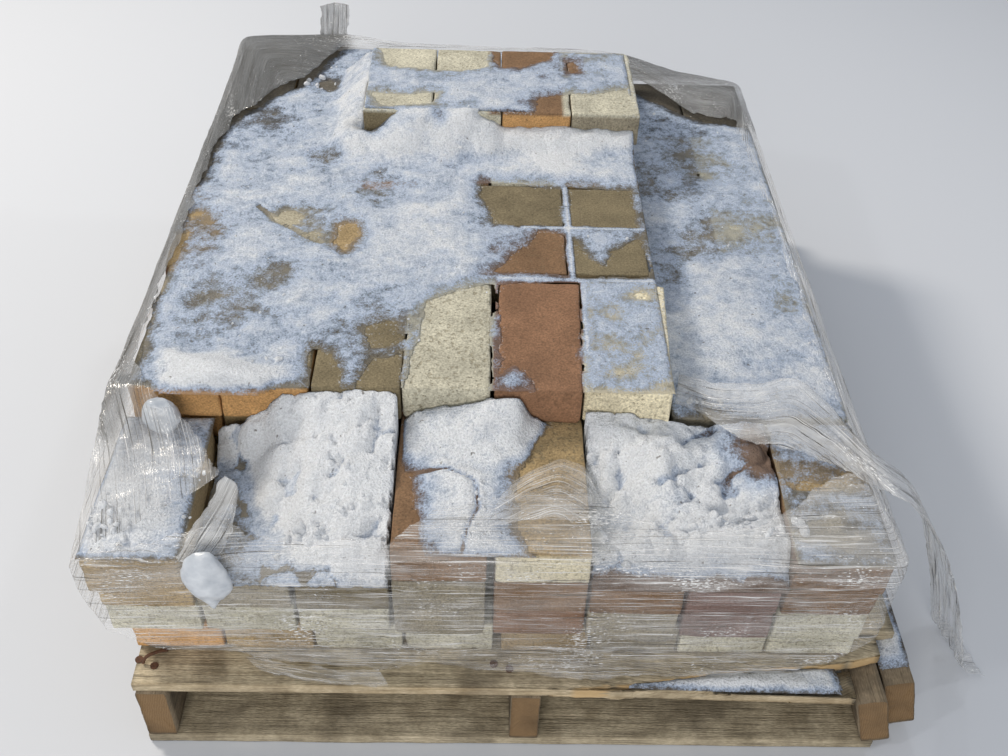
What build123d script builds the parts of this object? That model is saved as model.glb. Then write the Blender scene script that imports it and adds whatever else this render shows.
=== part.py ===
from build123d import *
import math
import os
import random

# A pallet of paving bricks in torn stretch film. All sizes are in millimetres.
# X runs across the pallet, Y runs from its front to its back and Z is up from the floor.
# The origin is on the floor under the middle of the stack of bricks.

# Driving dimensions of one brick and of the joints between bricks
brick_length = 200.0
brick_width = 100.0
brick_height = 50.0
brick_worn_edge = 2.0
side_joint = 3.5
end_joint = 6.0
middle_joint = 8.0
placing_play = 0.3  # share of a joint that a brick may stand off its even place

# Driving dimensions of the stack
bricks_across = 8
bricks_deep = 5
course_names = ("course_1", "course_2", "course_3", "course_4", "course_5", "course_6")
first_course_side_joint = 2.0
first_course_end_joint = 1.5
first_course_shift = 10.0
second_course_end_joint = 4.75

# The front row of the fourth course: places from the left, counting from 0
left_corner_column = 0
middle_columns = (3, 4)
right_corner_column = 7
left_corner_forward = 17.0
left_corner_turn = 1.5
right_corner_forward = 8.0
right_corner_turn = -1.0

# The block on top: the fifth course
block_columns = 6
block_rows = 4
block_set_back = 190.0
block_left_inset = 0.5
block_side_joint = 2.6
block_end_joint = 4.0
block_first_gap = 15.0
block_front_joints = (8.0, 0.5, 3.0, 0.8, 6.2, 4.0)  # to the left of each brick of its front row
block_front_turns = (0.0, 0.0, -0.2, -0.2, -2.0, -3.4)
stretcher_row = 1
stretcher_columns = (3, 4)

# The single row on top of the block: the sixth course
top_row_bricks = 4
top_row_from_front = 725.0
top_row_left = -190.0
top_row_joint = 0.8

# Driving dimensions of the pallet
board_thickness = 17.0
board_width = 89.0
lead_board_width = 76.0
first_board_gap = 4.0
deck_board_count = 8
stringer_width = 36.0
stringer_depth = 89.0
front_overhang = 31.0
back_overhang = 12.0
deck_left_inset = 18.5
deck_right_overhang = 41.5
middle_stringer_x = 44.0
right_stringer_lean = 16.0
outer_stringer_drop = 10.0
outer_stringer_setback = 24.0
bottom_board_reach = 6.0
board_end_play = (  # how far each deck board's left and right end stands off the even line
    (0.0, 0.0), (-2.0, 25.0), (3.0, -4.0), (-5.0, 2.0), (1.0, 6.0), (4.0, -3.0), (-3.0, 1.0), (0.0, 3.0),
)

# The split in the lead board: how far along the board and how far in from its front edge
split_points = ((484.0, 0.0), (568.0, 7.0), (667.0, 24.0), (802.0, 36.0), (852.0, 48.0))
split_gap = 2.5
strip_root = 20.0
strip_droop = 1.8
strip_end_clearance = 2.0

# The stretch film: it is thinner than this, so its solid only stands in for it
film_thickness = 1.5
film_clearance = 0.3
film_bottom_above_deck = 10.0
film_top_below_fourth_course = 4.0

# The loose film tail: points of its fall outward, as distance from the film and height over the deck
tail_from_front = 110.0
tail_width = 60.0
tail_thickness = 2.5
tail_points = (
    (2.0, 176.0), (9.0, 194.0), (30.0, 193.0), (62.0, 160.0), (100.0, 95.0), (136.0, 10.0), (160.0, -70.0),
)
tail_foot_from = 178.0
tail_foot_to = 205.0

# Worked out from the driving dimensions
deck_top = board_thickness + stringer_depth + board_thickness
even_side_joints = bricks_across - 2  # the joint up the middle is wider and counted apart
stack_width = bricks_across * brick_width + even_side_joints * side_joint + middle_joint
stack_depth = bricks_deep * brick_length + (bricks_deep - 1) * end_joint
stack_front = -stack_depth / 2
stack_back = stack_depth / 2
pallet_front = stack_front - front_overhang
pallet_back = stack_back + back_overhang
pallet_depth = pallet_back - pallet_front
pallet_left = -stack_width / 2 + deck_left_inset
pallet_right = stack_width / 2 + deck_right_overhang
stringer_bottom = board_thickness
stringer_top = board_thickness + stringer_depth
course_floor = {name: deck_top + level * brick_height for level, name in enumerate(course_names)}

os.makedirs("parts", exist_ok=True)
placing = random.Random(12)


def save(builder, name):
    builder.part.label = name
    export_step(builder.part, f"parts/{name}.step")


# One brick with its edges worn round, standing on its bottom face at the origin
with BuildPart() as one_brick:
    with BuildSketch():
        Rectangle(brick_width, brick_length)
    extrude(amount=brick_height)
    chamfer(one_brick.edges(), brick_worn_edge)


def lay_course(name, places):
    """Copies the brick to each (x, y, turn) of one course."""
    spots = [Location((x, y, course_floor[name]), (0, 0, turn)) for x, y, turn in places]
    with BuildPart() as course:
        with Locations(*spots):
            add(one_brick.part)
    save(course, name)


def column_x(column, side):
    """The middle of a brick in a full course, with the wider joint up the middle."""
    half = bricks_across / 2
    steps = column + 0.5 - half
    middle = (middle_joint - side) / 2
    return steps * (brick_width + side) + math.copysign(middle, steps)


def row_y(row, joint):
    """The middle of a brick in a full course. Every course is flush at the back of the stack."""
    rows_behind = bricks_deep - 1 - row
    return stack_back - brick_length / 2 - rows_behind * (brick_length + joint)


def played(joint):
    return placing.uniform(-1, 1) * joint * placing_play


def full_course(side, joint, shift=0.0):
    return [
        (column_x(column, side) + shift + played(side), row_y(row, joint) + played(joint), 0.0)
        for row in range(bricks_deep)
        for column in range(bricks_across)
    ]


lay_course("course_1", full_course(first_course_side_joint, first_course_end_joint, first_course_shift))
lay_course("course_2", full_course(side_joint, second_course_end_joint))
lay_course("course_3", full_course(side_joint, end_joint))

# The fourth course has only its corner bricks and its two middle bricks left in the front row
front_row = [
    (column_x(left_corner_column, side_joint), -left_corner_forward, left_corner_turn),
    (column_x(middle_columns[0], side_joint), -played(end_joint), 0.0),
    (column_x(middle_columns[1], side_joint), played(end_joint), 0.0),
    (column_x(right_corner_column, side_joint), -right_corner_forward, right_corner_turn),
]
fourth = [(x, row_y(0, end_joint) + forward, turn) for x, forward, turn in front_row]
fourth += full_course(side_joint, end_joint)[bricks_across:]
lay_course("course_4", fourth)

# The fifth course: columns of the block from its left edge, with a wider joint where a brick is askew
block_left = -stack_width / 2 + block_left_inset
block_front = stack_front + block_set_back


def block_row_y(row):
    gap = block_first_gap if row else 0.0
    return block_front + brick_length / 2 + row * (brick_length + block_end_joint) + gap


def block_column_x(column):
    return block_left + brick_width / 2 + column * (brick_width + block_side_joint)


block = []
brick_left = block_left
for joint, turn in zip(block_front_joints, block_front_turns):
    brick_left += joint
    block.append((brick_left + brick_width / 2, block_row_y(0), turn))
    brick_left += brick_width
for row in range(1, block_rows):
    for column in range(block_columns):
        if row == stretcher_row and column in stretcher_columns:
            continue
        block.append((block_column_x(column), block_row_y(row) + played(block_end_joint), 0.0))

# Two bricks of the second row lie across it, one behind the other
stretcher_x = sum(block_column_x(column) for column in stretcher_columns) / 2
stretcher_step = (brick_width + block_end_joint) / 2
for side in (-1, 1):
    block.append((stretcher_x, block_row_y(stretcher_row) + side * stretcher_step, 90.0))
lay_course("course_5", block)

top_row_y = stack_front + top_row_from_front + brick_length / 2
top_row = [
    (top_row_left + brick_width / 2 + place * (brick_width + top_row_joint), top_row_y, 0.0)
    for place in range(top_row_bricks)
]
lay_course("course_6", top_row)


def save_stringer(name, x, front):
    """An upright stringer from the front of the pallet to its back."""
    with BuildPart() as stringer:
        with BuildSketch(Plane.XZ.offset(-front)):
            with Locations((x, stringer_bottom + stringer_depth / 2)):
                Rectangle(stringer_width, stringer_depth)
        extrude(amount=-(pallet_back - front))
    save(stringer, name)


save_stringer("left_stringer", pallet_left + stringer_width / 2, pallet_front)
save_stringer("middle_stringer", middle_stringer_x, pallet_front)

# The right stringer leans out at its bottom. Its two corners that carry the load are crushed flat.
lean = math.radians(right_stringer_lean)
lean_rise = stringer_depth * math.cos(lean) + stringer_width * math.sin(lean)
lean_run = stringer_depth * math.sin(lean) - stringer_width * math.cos(lean)
leaning_x = pallet_right + lean_run / 2
leaning_z = stringer_bottom + stringer_depth / 2
with BuildPart() as right_stringer:
    with BuildSketch(Plane.XZ.offset(-pallet_front)):
        with Locations((leaning_x, leaning_z)):
            Rectangle(stringer_width, stringer_depth, rotation=right_stringer_lean)
            Rectangle(2 * lean_rise, stringer_depth, mode=Mode.INTERSECT)
    extrude(amount=-pallet_depth)
save(right_stringer, "right_stringer")

# A second timber lies flat against the outside of the leaning one, slid down its face
outer_x = leaning_x + stringer_width * math.cos(lean) + outer_stringer_drop * math.sin(lean)
outer_z = leaning_z + stringer_width * math.sin(lean) - outer_stringer_drop * math.cos(lean)
outer_front = pallet_front + outer_stringer_setback
with BuildPart() as right_outer_stringer:
    with BuildSketch(Plane.XZ.offset(-outer_front)):
        with Locations((outer_x, outer_z)):
            Rectangle(stringer_width, stringer_depth, rotation=right_stringer_lean)
    extrude(amount=-(pallet_back - outer_front))
save(right_outer_stringer, "right_outer_stringer")


def board(left, right, front, width, bottom):
    """A sawn board that lies across the stringers."""
    with BuildPart() as plank:
        with BuildSketch(Plane.XY.offset(bottom)):
            with Locations(((left + right) / 2, front + width / 2)):
                Rectangle(right - left, width)
        extrude(amount=board_thickness)
    return plank


# The lead board: its front edge is torn back along the grain towards its right end
torn_edge = [(pallet_left + along, pallet_front + back) for along, back in split_points]
lead_back = pallet_front + lead_board_width
with BuildPart() as lead_deck_board:
    with BuildSketch(Plane.XY.offset(stringer_top)):
        with BuildLine():
            Polyline(
                (pallet_left, pallet_front),
                *torn_edge,
                (pallet_right, lead_back),
                (pallet_left, lead_back),
                close=True,
            )
        make_face()
    extrude(amount=board_thickness)
    # The strip that split off still hangs on at its root and slopes down to its broken end
    root_x = torn_edge[0][0] - strip_root
    strip_end = pallet_right - stringer_width * math.cos(lean) - strip_end_clearance
    sloping = Plane(origin=(root_x, 0, stringer_top), x_dir=(1, 0, -math.tan(math.radians(strip_droop))),
                    z_dir=(math.tan(math.radians(strip_droop)), 0, 1))
    with BuildSketch(sloping):
        with BuildLine():
            Polyline(
                (0, pallet_front),
                (strip_end - root_x, pallet_front),
                (strip_end - root_x, torn_edge[3][1] - split_gap),
                (torn_edge[2][0] - root_x, torn_edge[2][1] - split_gap),
                (torn_edge[1][0] - root_x, torn_edge[1][1] - split_gap),
                (0, pallet_front + split_gap),
                close=True,
            )
        make_face()
    extrude(amount=board_thickness)
save(lead_deck_board, "lead_deck_board")

# The other deck boards fill the rest of the pallet's depth with even gaps
second_front = lead_back + first_board_gap
plain_boards = deck_board_count - 1
deck_pitch = (pallet_back - second_front - board_width) / (plain_boards - 1)
for place in range(plain_boards):
    left_play, right_play = board_end_play[place + 1]
    deck_board = board(pallet_left + left_play, pallet_right + right_play, second_front + place * deck_pitch,
                       board_width, stringer_top)
    save(deck_board, f"deck_board_{place + 2}")

# Three boards under the stringers
bottom_fronts = {
    "bottom_board_front": pallet_front,
    "bottom_board_middle": -board_width / 2,
    "bottom_board_rear": pallet_back - board_width,
}
for name, front in bottom_fronts.items():
    save(board(pallet_left, pallet_right + bottom_board_reach, front, board_width, 0.0), name)

# The stretch film round the four sides, just clear of the outermost bricks
first_course_width = bricks_across * brick_width + even_side_joints * first_course_side_joint + middle_joint
turned_out = brick_length / 2 * math.sin(math.radians(left_corner_turn))
turned_forward = brick_width / 2 * math.sin(math.radians(left_corner_turn))
film_left = -stack_width / 2 - turned_out - film_clearance
film_right = max(stack_width / 2 + turned_out, first_course_width / 2 + first_course_shift) + film_clearance
film_front = stack_front - left_corner_forward - turned_forward - film_clearance
film_right_front = stack_front - right_corner_forward - turned_forward - film_clearance
film_back = stack_back + end_joint * placing_play + film_clearance
film_bottom = deck_top + film_bottom_above_deck
film_top = course_floor["course_5"] - film_top_below_fourth_course
left_corner_x = column_x(left_corner_column, side_joint) + brick_width / 2
with BuildPart() as stretch_wrap:
    with BuildSketch(Plane.XY.offset(film_bottom)) as film_plan:
        with BuildLine() as film_inside:
            Polyline(
                (film_left, film_front),
                (left_corner_x, film_front),
                (film_right, film_right_front),
                (film_right, film_back),
                (film_left, film_back),
                close=True,
            )
        make_face()
        offset(amount=film_thickness, kind=Kind.INTERSECTION)
        with BuildLine():
            add(film_inside.line)
        make_face(mode=Mode.SUBTRACT)
    extrude(amount=film_top - film_bottom)
save(stretch_wrap, "stretch_wrap")

# The loose end of the film: a strip that falls outward from the wrap and ends on the floor
film_face = film_right + film_thickness
fall = [(film_face + out, deck_top + height) for out, height in tail_points]
fall.append((film_face + tail_foot_from, tail_thickness / 2))
fall.append((film_face + tail_foot_to, tail_thickness / 2))
tail_y = stack_front + tail_from_front
with BuildPart() as wrap_tail:
    with BuildSketch(Plane.XZ.offset(-(tail_y - tail_width / 2))):
        with BuildLine() as tail_line:
            Polyline(*fall)
        trace(tail_line.line, line_width=tail_thickness)
    extrude(amount=-tail_width)
save(wrap_tail, "wrap_tail")
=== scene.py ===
import bmesh
import bpy
import math
import numpy as np
from functools import partial
from mathutils import Matrix, Vector


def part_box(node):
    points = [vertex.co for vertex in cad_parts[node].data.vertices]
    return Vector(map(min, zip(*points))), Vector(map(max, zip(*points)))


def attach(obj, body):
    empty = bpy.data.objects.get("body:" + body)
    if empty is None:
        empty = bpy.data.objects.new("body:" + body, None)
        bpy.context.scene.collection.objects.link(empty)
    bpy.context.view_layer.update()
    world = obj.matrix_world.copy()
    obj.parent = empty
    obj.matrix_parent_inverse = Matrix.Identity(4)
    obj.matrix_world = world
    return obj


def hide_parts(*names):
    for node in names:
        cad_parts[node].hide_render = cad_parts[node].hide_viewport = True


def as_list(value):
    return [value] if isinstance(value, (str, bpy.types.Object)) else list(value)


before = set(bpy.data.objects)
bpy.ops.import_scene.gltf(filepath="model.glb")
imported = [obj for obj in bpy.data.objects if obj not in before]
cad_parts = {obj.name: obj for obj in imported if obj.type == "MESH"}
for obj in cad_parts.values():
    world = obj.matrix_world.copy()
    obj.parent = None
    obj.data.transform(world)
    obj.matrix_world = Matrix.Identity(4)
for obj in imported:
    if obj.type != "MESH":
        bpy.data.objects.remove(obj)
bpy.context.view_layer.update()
mm = 0.001  # outlines and relief are written in millimetres and multiplied by this


# Small tools that every piece uses

mathNode = "ShaderNodeMath"
vectorNode = "ShaderNodeVectorMath"
noiseNode = "ShaderNodeTexNoise"
rangeNode = "ShaderNodeMapRange"
mixNode = "ShaderNodeMix"
bumpNode = "ShaderNodeBump"


def toLinear(hexColour):
    channels = [int(hexColour[at:at + 2], 16) / 255 for at in (1, 3, 5)]
    return [c / 12.92 if c <= 0.04045 else ((c + 0.055) / 1.055) ** 2.4 for c in channels] + [1.0]


def addNode(tree, kind, links=None, **settings):
    # a link comes from a socket, a node (its first live output), a hex colour or a plain value
    node = tree.nodes.new(kind)
    for name, value in settings.items():
        setattr(node, name, value)
    for socket, source in (links or {}).items():
        if isinstance(source, bpy.types.Node):
            source = next(output for output in source.outputs if output.enabled)
        if isinstance(source, bpy.types.NodeSocket):
            tree.links.new(source, node.inputs[socket])
        else:
            isColour = isinstance(source, str) and source.startswith("#")
            node.inputs[socket].default_value = toLinear(source) if isColour else source
    return node


def newMaterial(name):
    material = bpy.data.materials.new(name)
    material.use_nodes = True
    material.node_tree.nodes.clear()
    return material, partial(addNode, material.node_tree)


def finishMaterial(material, surface):
    tree = material.node_tree
    shader = addNode(tree, "ShaderNodeBsdfPrincipled", surface)
    addNode(tree, "ShaderNodeOutputMaterial", {"Surface": shader})
    return material


def newTree(name, inputs):
    # a Geometry Nodes tree with its named inputs, each with its kind of socket
    tree = bpy.data.node_groups.new(name, "GeometryNodeTree")
    for label, kind in inputs.items():
        tree.interface.new_socket(label, in_out="INPUT", socket_type=f"NodeSocket{kind}")
    tree.interface.new_socket("Geometry", in_out="OUTPUT", socket_type="NodeSocketGeometry")
    return tree, partial(addNode, tree), addNode(tree, "NodeGroupInput").outputs


def smoothStep(value, low, high):
    t = np.clip((value - low) / (high - low), 0, 1)
    return t * t * (3 - 2 * t)


def latticeNoise(points, cell, seed):
    # smooth random values from 0 to 1 on a lattice of that cell size
    scaled = np.asarray(points, float) / np.asarray(cell, float)
    base = np.floor(scaled).astype(np.int64)
    part = scaled - base
    part = part * part * (3 - 2 * part)
    total = np.zeros(len(scaled))
    for corner in range(8):
        step = np.array([(corner >> axis) & 1 for axis in range(3)])
        at = (base + step) & 0xFFFFF
        mixed = (at[:, 0] * 73856093) ^ (at[:, 1] * 19349663) ^ (at[:, 2] * 83492791) ^ (seed * 2971215)
        mixed = ((mixed ^ (mixed >> 13)) & 0x7FFFFFFF) * 1274126177
        mixed = (mixed ^ (mixed >> 16)) & 0xFFFF
        total += np.prod(np.where(step, part, 1 - part), axis=1) * mixed / 65535
    return total


def roughNoise(points, cell, seed, octaves=3):
    # several sizes of latticeNoise added up, from about -1 to 1
    total = np.zeros(len(points))
    reach = 0.0
    for octave in range(octaves):
        share = 0.5 ** octave
        total += share * (latticeNoise(points, np.asarray(cell, float) * share, seed + 17 * octave) * 2 - 1)
        reach += share
    return total / reach


def flatSpots(x, y, z=0.0):
    return np.stack([x, y, np.full(len(x), z)], axis=1)


def heapAt(x, y, centreX, centreY, reach):
    return np.exp(-((x - centreX) ** 2 + (y - centreY) ** 2) / (reach * reach))


def addObject(name, data):
    item = bpy.data.objects.new(name, data)
    bpy.context.scene.collection.objects.link(item)
    return item


def ridePiece(piece, node=None):
    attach(piece, "root")
    if node:
        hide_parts(node)
    return piece


def setValues(mesh, label, data):
    # a number, a vector or a colour for each point
    data = np.asarray(data, np.float32)
    width = 1 if data.ndim == 1 else data.shape[1]
    kind, field = {1: ("FLOAT", "value"), 3: ("FLOAT_VECTOR", "vector"), 4: ("FLOAT_COLOR", "color")}[width]
    mesh.attributes.new(label, kind, "POINT").data.foreach_set(field, data.ravel())


def makePiece(name, points, faces, material, values=None, uv=None, node=None, turnOut=False):
    mesh = bpy.data.meshes.new(name)
    mesh.from_pydata(np.asarray(points).tolist(), [], [[int(corner) for corner in face] for face in faces])
    if turnOut:  # faces to the outside
        work = bmesh.new()
        work.from_mesh(mesh)
        bmesh.ops.recalc_face_normals(work, faces=work.faces)
        work.to_mesh(mesh)
        work.free()
    mesh.shade_smooth()
    for label, data in (values or {}).items():
        setValues(mesh, label, data)
    if uv is not None:
        layer = mesh.uv_layers.new(name="UVMap")
        corners = np.zeros(len(mesh.loops), np.int32)
        mesh.loops.foreach_get("vertex_index", corners)
        layer.data.foreach_set("uv", np.asarray(uv, np.float32)[corners].ravel())
    mesh.materials.append(material)
    mesh.validate()
    return ridePiece(addObject(name, mesh), node)


def growPiece(name, places, values, tree, inputs, node=None):
    # a Geometry Nodes tree set to work on places in metres, and kept as a plain mesh
    base = bpy.data.meshes.new("places")
    base.from_pydata(np.asarray(places).tolist(), [], [])
    for label, data in values.items():
        setValues(base, label, data)
    holder = addObject("places", base)
    modifier = holder.modifiers.new("geometry", "NODES")
    modifier.node_group = tree
    for item in tree.interface.items_tree:
        if item.in_out == "INPUT" and item.name in inputs:
            modifier[item.identifier] = inputs[item.name]
    bpy.context.view_layer.update()
    graph = bpy.context.evaluated_depsgraph_get()
    result = bpy.data.meshes.new_from_object(holder.evaluated_get(graph), preserve_all_data_layers=True,
                                             depsgraph=graph)
    result.name = name
    holder.modifiers.clear()
    bpy.data.objects.remove(holder)
    return ridePiece(addObject(name, result), node)


# Camera: the photo looks down on the front of the pallet from a standing person's height

cameraPlace = dict(
    position=(-0.0168, -1.2103, 1.1987), yaw=1.847, pitch=42.257, roll=2.258,  # metres and degrees
    focalPixels=1090.3,
    pictureWidth=1008,
    sensor=36,
)


def makeCamera():
    yaw, pitch, roll = (math.radians(cameraPlace[key]) for key in ("yaw", "pitch", "roll"))
    ahead = Vector((math.sin(yaw) * math.cos(pitch), math.cos(yaw) * math.cos(pitch), -math.sin(pitch)))
    right = Vector((math.cos(yaw), -math.sin(yaw), 0))
    up = right.cross(ahead)
    rolledRight = right * math.cos(roll) + up * math.sin(roll)
    rolledUp = up * math.cos(roll) - right * math.sin(roll)
    lens = bpy.data.cameras.new("photoCamera")
    lens.sensor_fit = "HORIZONTAL"
    lens.sensor_width = cameraPlace["sensor"]
    lens.lens = cameraPlace["sensor"] * cameraPlace["focalPixels"] / cameraPlace["pictureWidth"]
    camera = addObject("photoCamera", lens)
    turned = Matrix((rolledRight, rolledUp, -ahead)).transposed()
    camera.matrix_world = Matrix.Translation(cameraPlace["position"]) @ turned.to_4x4()
    bpy.context.scene.camera = camera


# Studio: a pale floor that runs up into a backdrop, a large soft key from behind the left shoulder

studio = dict(
    floorColour="#c9ced6",
    floorReach=9.0,  # m, half the floor's width, and how far it comes forward
    floorDepth=4.95,  # m, where it starts to turn up
    turnRadius=2.5,
    turnSteps=16,
    backdropTop=6.0,
    worldColour="#e9eef6",
    worldStrength=0.42,
    aim=(0, 0, 0.2),  # what the lamps point at
    lamps=dict(  # place, size in metres, watts and colour
        key=((-2.6, 1.5, 2.9), 0.9, 118.0, "#fff4e4"),
        fill=((-0.4, -3.3, 1.6), 1.8, 62.0, "#fff8ee"),
        glint0=((-1.5, -1.2, 2.2), 0.16, 7.0, "#ffffff"),
        glint1=((0.6, 2.2, 2.1), 0.16, 7.0, "#ffffff"),
        glint2=((2.2, 0.4, 1.9), 0.16, 7.0, "#ffffff"),
    ),
)


def makeStudio():
    scene = bpy.context.scene
    scene.view_settings.view_transform = "Standard"
    scene.world = bpy.data.worlds.new("studioWorld")
    scene.world.use_nodes = True
    backing = scene.world.node_tree.nodes["Background"]
    backing.inputs["Color"].default_value = toLinear(studio["worldColour"])
    backing.inputs["Strength"].default_value = studio["worldStrength"]
    reach, depth, radius = studio["floorReach"], studio["floorDepth"], studio["turnRadius"]
    profile = [(-reach, 0.0)]
    for step in range(studio["turnSteps"] + 1):
        turn = step / studio["turnSteps"] * math.pi / 2
        profile.append((depth + radius * math.sin(turn), radius * (1 - math.cos(turn))))
    profile.append((depth + radius, studio["backdropTop"]))
    points = [(x, y, z) for y, z in profile for x in (-reach, reach)]
    faces = [(2 * at, 2 * at + 1, 2 * at + 3, 2 * at + 2) for at in range(len(profile) - 1)]
    mesh = bpy.data.meshes.new("studioFloor")
    mesh.from_pydata(points, [], faces)
    mesh.shade_smooth()
    material, _ = newMaterial("paintedStudioFloor")
    mesh.materials.append(finishMaterial(material, {"Base Color": studio["floorColour"], "Roughness": 0.8}))
    addObject("studioFloor", mesh)
    for name, (place, size, watts, colour) in studio["lamps"].items():
        light = bpy.data.lights.new(name, "AREA")
        light.shape = "DISK"
        light.size = size
        light.energy = watts
        light.color = toLinear(colour)[:3]
        holder = addObject(name, light)
        holder.location = place
        holder.rotation_euler = (Vector(studio["aim"]) - Vector(place)).to_track_quat("-Z", "Y").to_euler()


# The crust of snow: how thick it lies over each level of bricks, in millimetres
# Outlines and spots are listed places in the photo, and they wander by noise

levelTop = dict(fourth=323.0, fifth=373.0, sixth=423.0)
levelOf = dict(course_4="fourth", course_5="fifth", course_6="sixth")

barePatches = dict(
    fifth=[
        [(-19, 102), (30, 104), (72, 96), (97, 87), (93, -1), (2, 5), (-5, 43), (-18, 67)],
        [(107, 97), (191, 90), (193, 2), (102, -1)],
        [(62, -7), (94, -22), (93, -103), (-10, -107), (15, -85), (48, -35)],
        [(104, -33), (125, -66), (141, -85), (154, -54), (201, -11), (197, -110), (102, -111)],
        [(8, -127), (107, -119), (103, -245), (95, -257), (102, -271), (100, -350), (54, -350), (46, -306),
         (25, -282), (8, -294)],
        [(-83, -166), (-29, -134), (-1, -129), (-2, -312), (-20, -350), (-101, -350), (-101, -319),
         (-90, -259)],
        [(-209, -253), (-186, -270), (-171, -299), (-171, -350), (-202, -350)],
        [(-152, -303), (-135, -274), (-105, -259), (-100, -350), (-146, -350)],
        [(-206, -6), (-180, -1), (-174, -26), (-190, -62), (-206, -45)],
        [(-430, -34), (-396, -33), (-402, -99), (-407, -180), (-400, -305), (-430, -320)],
        [(-240, 530), (-268, 466), (-292, 395), (-318, 360), (-351, 316), (-382, 277), (-396, 231),
         (-400, 160), (-405, 81), (-436, 60), (-436, 530)],
    ],
    sixth=[
        [(-186, 440), (-6, 440), (-12, 354), (-50, 338), (-112, 344), (-164, 350)],
        [(-2, 440), (100, 440), (86, 380), (40, 352), (14, 354), (-4, 380)],
        [(109, 378), (130, 372), (134, 340), (110, 333)],
        [(66, 262), (158, 280), (196, 290), (215, 215), (64, 210)],
        [(-182, 264), (-140, 260), (-82, 269), (-92, 236), (-164, 226)],
    ],
    fourth=[
        [(33, -378), (45, -350), (64, -325), (97, -297), (112, -297), (112, -512), (36, -512), (24, -440)],
        [(-112, -310), (-97, -310), (-95, -399), (-82, -440), (-70, -520), (-112, -520)],
        [(205, 520), (246, 462), (284, 429), (320, 391), (343, 376), (390, 368), (420, 368), (420, 520)],
    ],
)

# Heaps where depth is above zero and scoured places where it is below: x, y, reach, added depth
snowSpots = dict(
    fifth=[
        (-382, -306, 26, 12), (-352, -312, 28, 14), (-320, -316, 28, 14), (-288, -320, 26, 12),
        (-256, -328, 22, 9), (-392, 0, 40, -4), (-372, -60, 30, -3), (50, 185, 120, 1.2),
        (-335, 270, 46, -3.6), (-268, -122, 26, -4), (-330, -160, 60, -1.6), (-130, -230, 44, -3.6),
        (-240, 158, 24, -4.5), (-262, 380, 26, -5), (-270, 10, 26, -4.5), (-232, -35, 20, -4),
        (165, -225, 90, -1.8),
        (130, -145, 15, -2), (180, -150, 17, -2.2), (146, -190, 16, -2.4), (190, -215, 15, -2),
        (135, -240, 15, -2), (170, -262, 18, -2.4), (134, -300, 17, -2.2), (188, -312, 14, -2),
        (-70, -20, 100, 1.6), (100, 150, 60, 3), (10, -60, 34, -2.6), (-165, 240, 24, -5),
        (-60, -160, 30, 1.5),
        (-150, 60, 60, -1.2), (150, 40, 40, -1.5), (-172, 206, 24, -5.5), (-80, 205, 16, -5),
        (-80, 285, 10, -4),
    ],
    sixth=[
        (-196, 392, 26, 9), (-120, 300, 60, 1.2), (0, 300, 60, 1.5), (60, 330, 40, 1.0), (170, 350, 50, 1.0),
        (120, 250, 60, 1.6),
    ],
    fourth=[
        (362, -425, 70, -3.4), (345, -490, 36, -2.6), (392, -490, 36, -2.4), (330, -330, 40, -2.4),
        (-380, -470, 38, 9), (-372, -380, 40, 3), (-45, -350, 44, 4.5), (-45, -455, 46, 3.5),
        (300, 310, 60, -2), (310, 180, 50, -1.8), (340, 60, 50, -2.4), (280, 30, 40, -2.6),
        (270, -120, 60, 1), (300, -240, 60, 1.6), (255, -300, 22, -4),
    ],
)
snowSlabs = dict(
    fourth=[[(-88, -378), (-57, -370), (-45, -400), (-10, -405), (2, -446), (0, -507), (-67, -507),
             (-78, -448)]],
)
snowCracks = dict(
    fifth=[[(-315, 28), (-289, 3), (-252, -28), (-222, -49)]],
    fourth=[[(-88, -405), (-51, -399), (-18, -418), (-14, -453), (-26, -487), (-29, -510)]],
)
snowJoints = dict(  # joints between bare bricks that snow has filled
    fifth=[[(100, -4), (99, 94)], [(40, -4), (198, -5)], [(99, -6), (100, -112)], [(8, -118), (204, -119)],
           [(112, -128), (110, -250)]],
)

snowLook = dict(
    depth=dict(fourth=3.9, fifth=4.1, sixth=3.2),  # mm, the usual thickness over each level
    swell=3.0,  # mm, broad swells
    ripple=2.2,  # mm, wind ripples
    grain=1.1,  # mm, crusty relief
    edgeSlope=0.20,  # mm of snow for each mm away from a bare patch
    edgeWander=8.0,  # mm that the rim of a patch wanders
    slab=6.0,  # mm, how far a slab of crust stands up
    crack=5.0,  # mm, how deep it has cracked
    coverPerMm=0.17,  # how fast snow hides the brick as it gets thicker
    step=3.4,  # mm between the points of a layer
    white="#e9eef5",  # thick snow
    thin="#b1c2dc",  # a thin frozen crust
    hollow="#8c9eb8",  # painted shade in the bottom of a thawed pit
    sunk=0.8,  # mm that a layer reaches into what it lies on
    thinnest=0.9,  # mm from the top of a layer to its underside, thinner places are left out
    steepest=22,  # mm, the most that an underside steps up in one cell
)


def outlineDistance(x, y, outline):
    # distance from an outline in its plane, below zero inside it
    points = np.asarray(outline, float)
    nearest = lineDistance(x, y, [*outline, outline[0]])
    inside = np.zeros(len(x), bool)
    for (ax, ay), (bx, by) in zip(points, np.roll(points, -1, axis=0)):
        if by != ay:
            inside ^= ((ay > y) != (by > y)) & (x < (bx - ax) * (y - ay) / (by - ay) + ax)
    return np.where(inside, -nearest, nearest)


def lineDistance(x, y, line):
    # distance from a line of several straight runs
    nearest = np.full(len(x), 1e9)
    for (ax, ay), (bx, by) in zip(line[:-1], line[1:]):
        ex, ey = bx - ax, by - ay
        along = np.clip(((x - ax) * ex + (y - ay) * ey) / (ex * ex + ey * ey), 0, 1)
        nearest = np.minimum(nearest, np.hypot(x - ax - along * ex, y - ay - along * ey))
    return nearest


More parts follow.
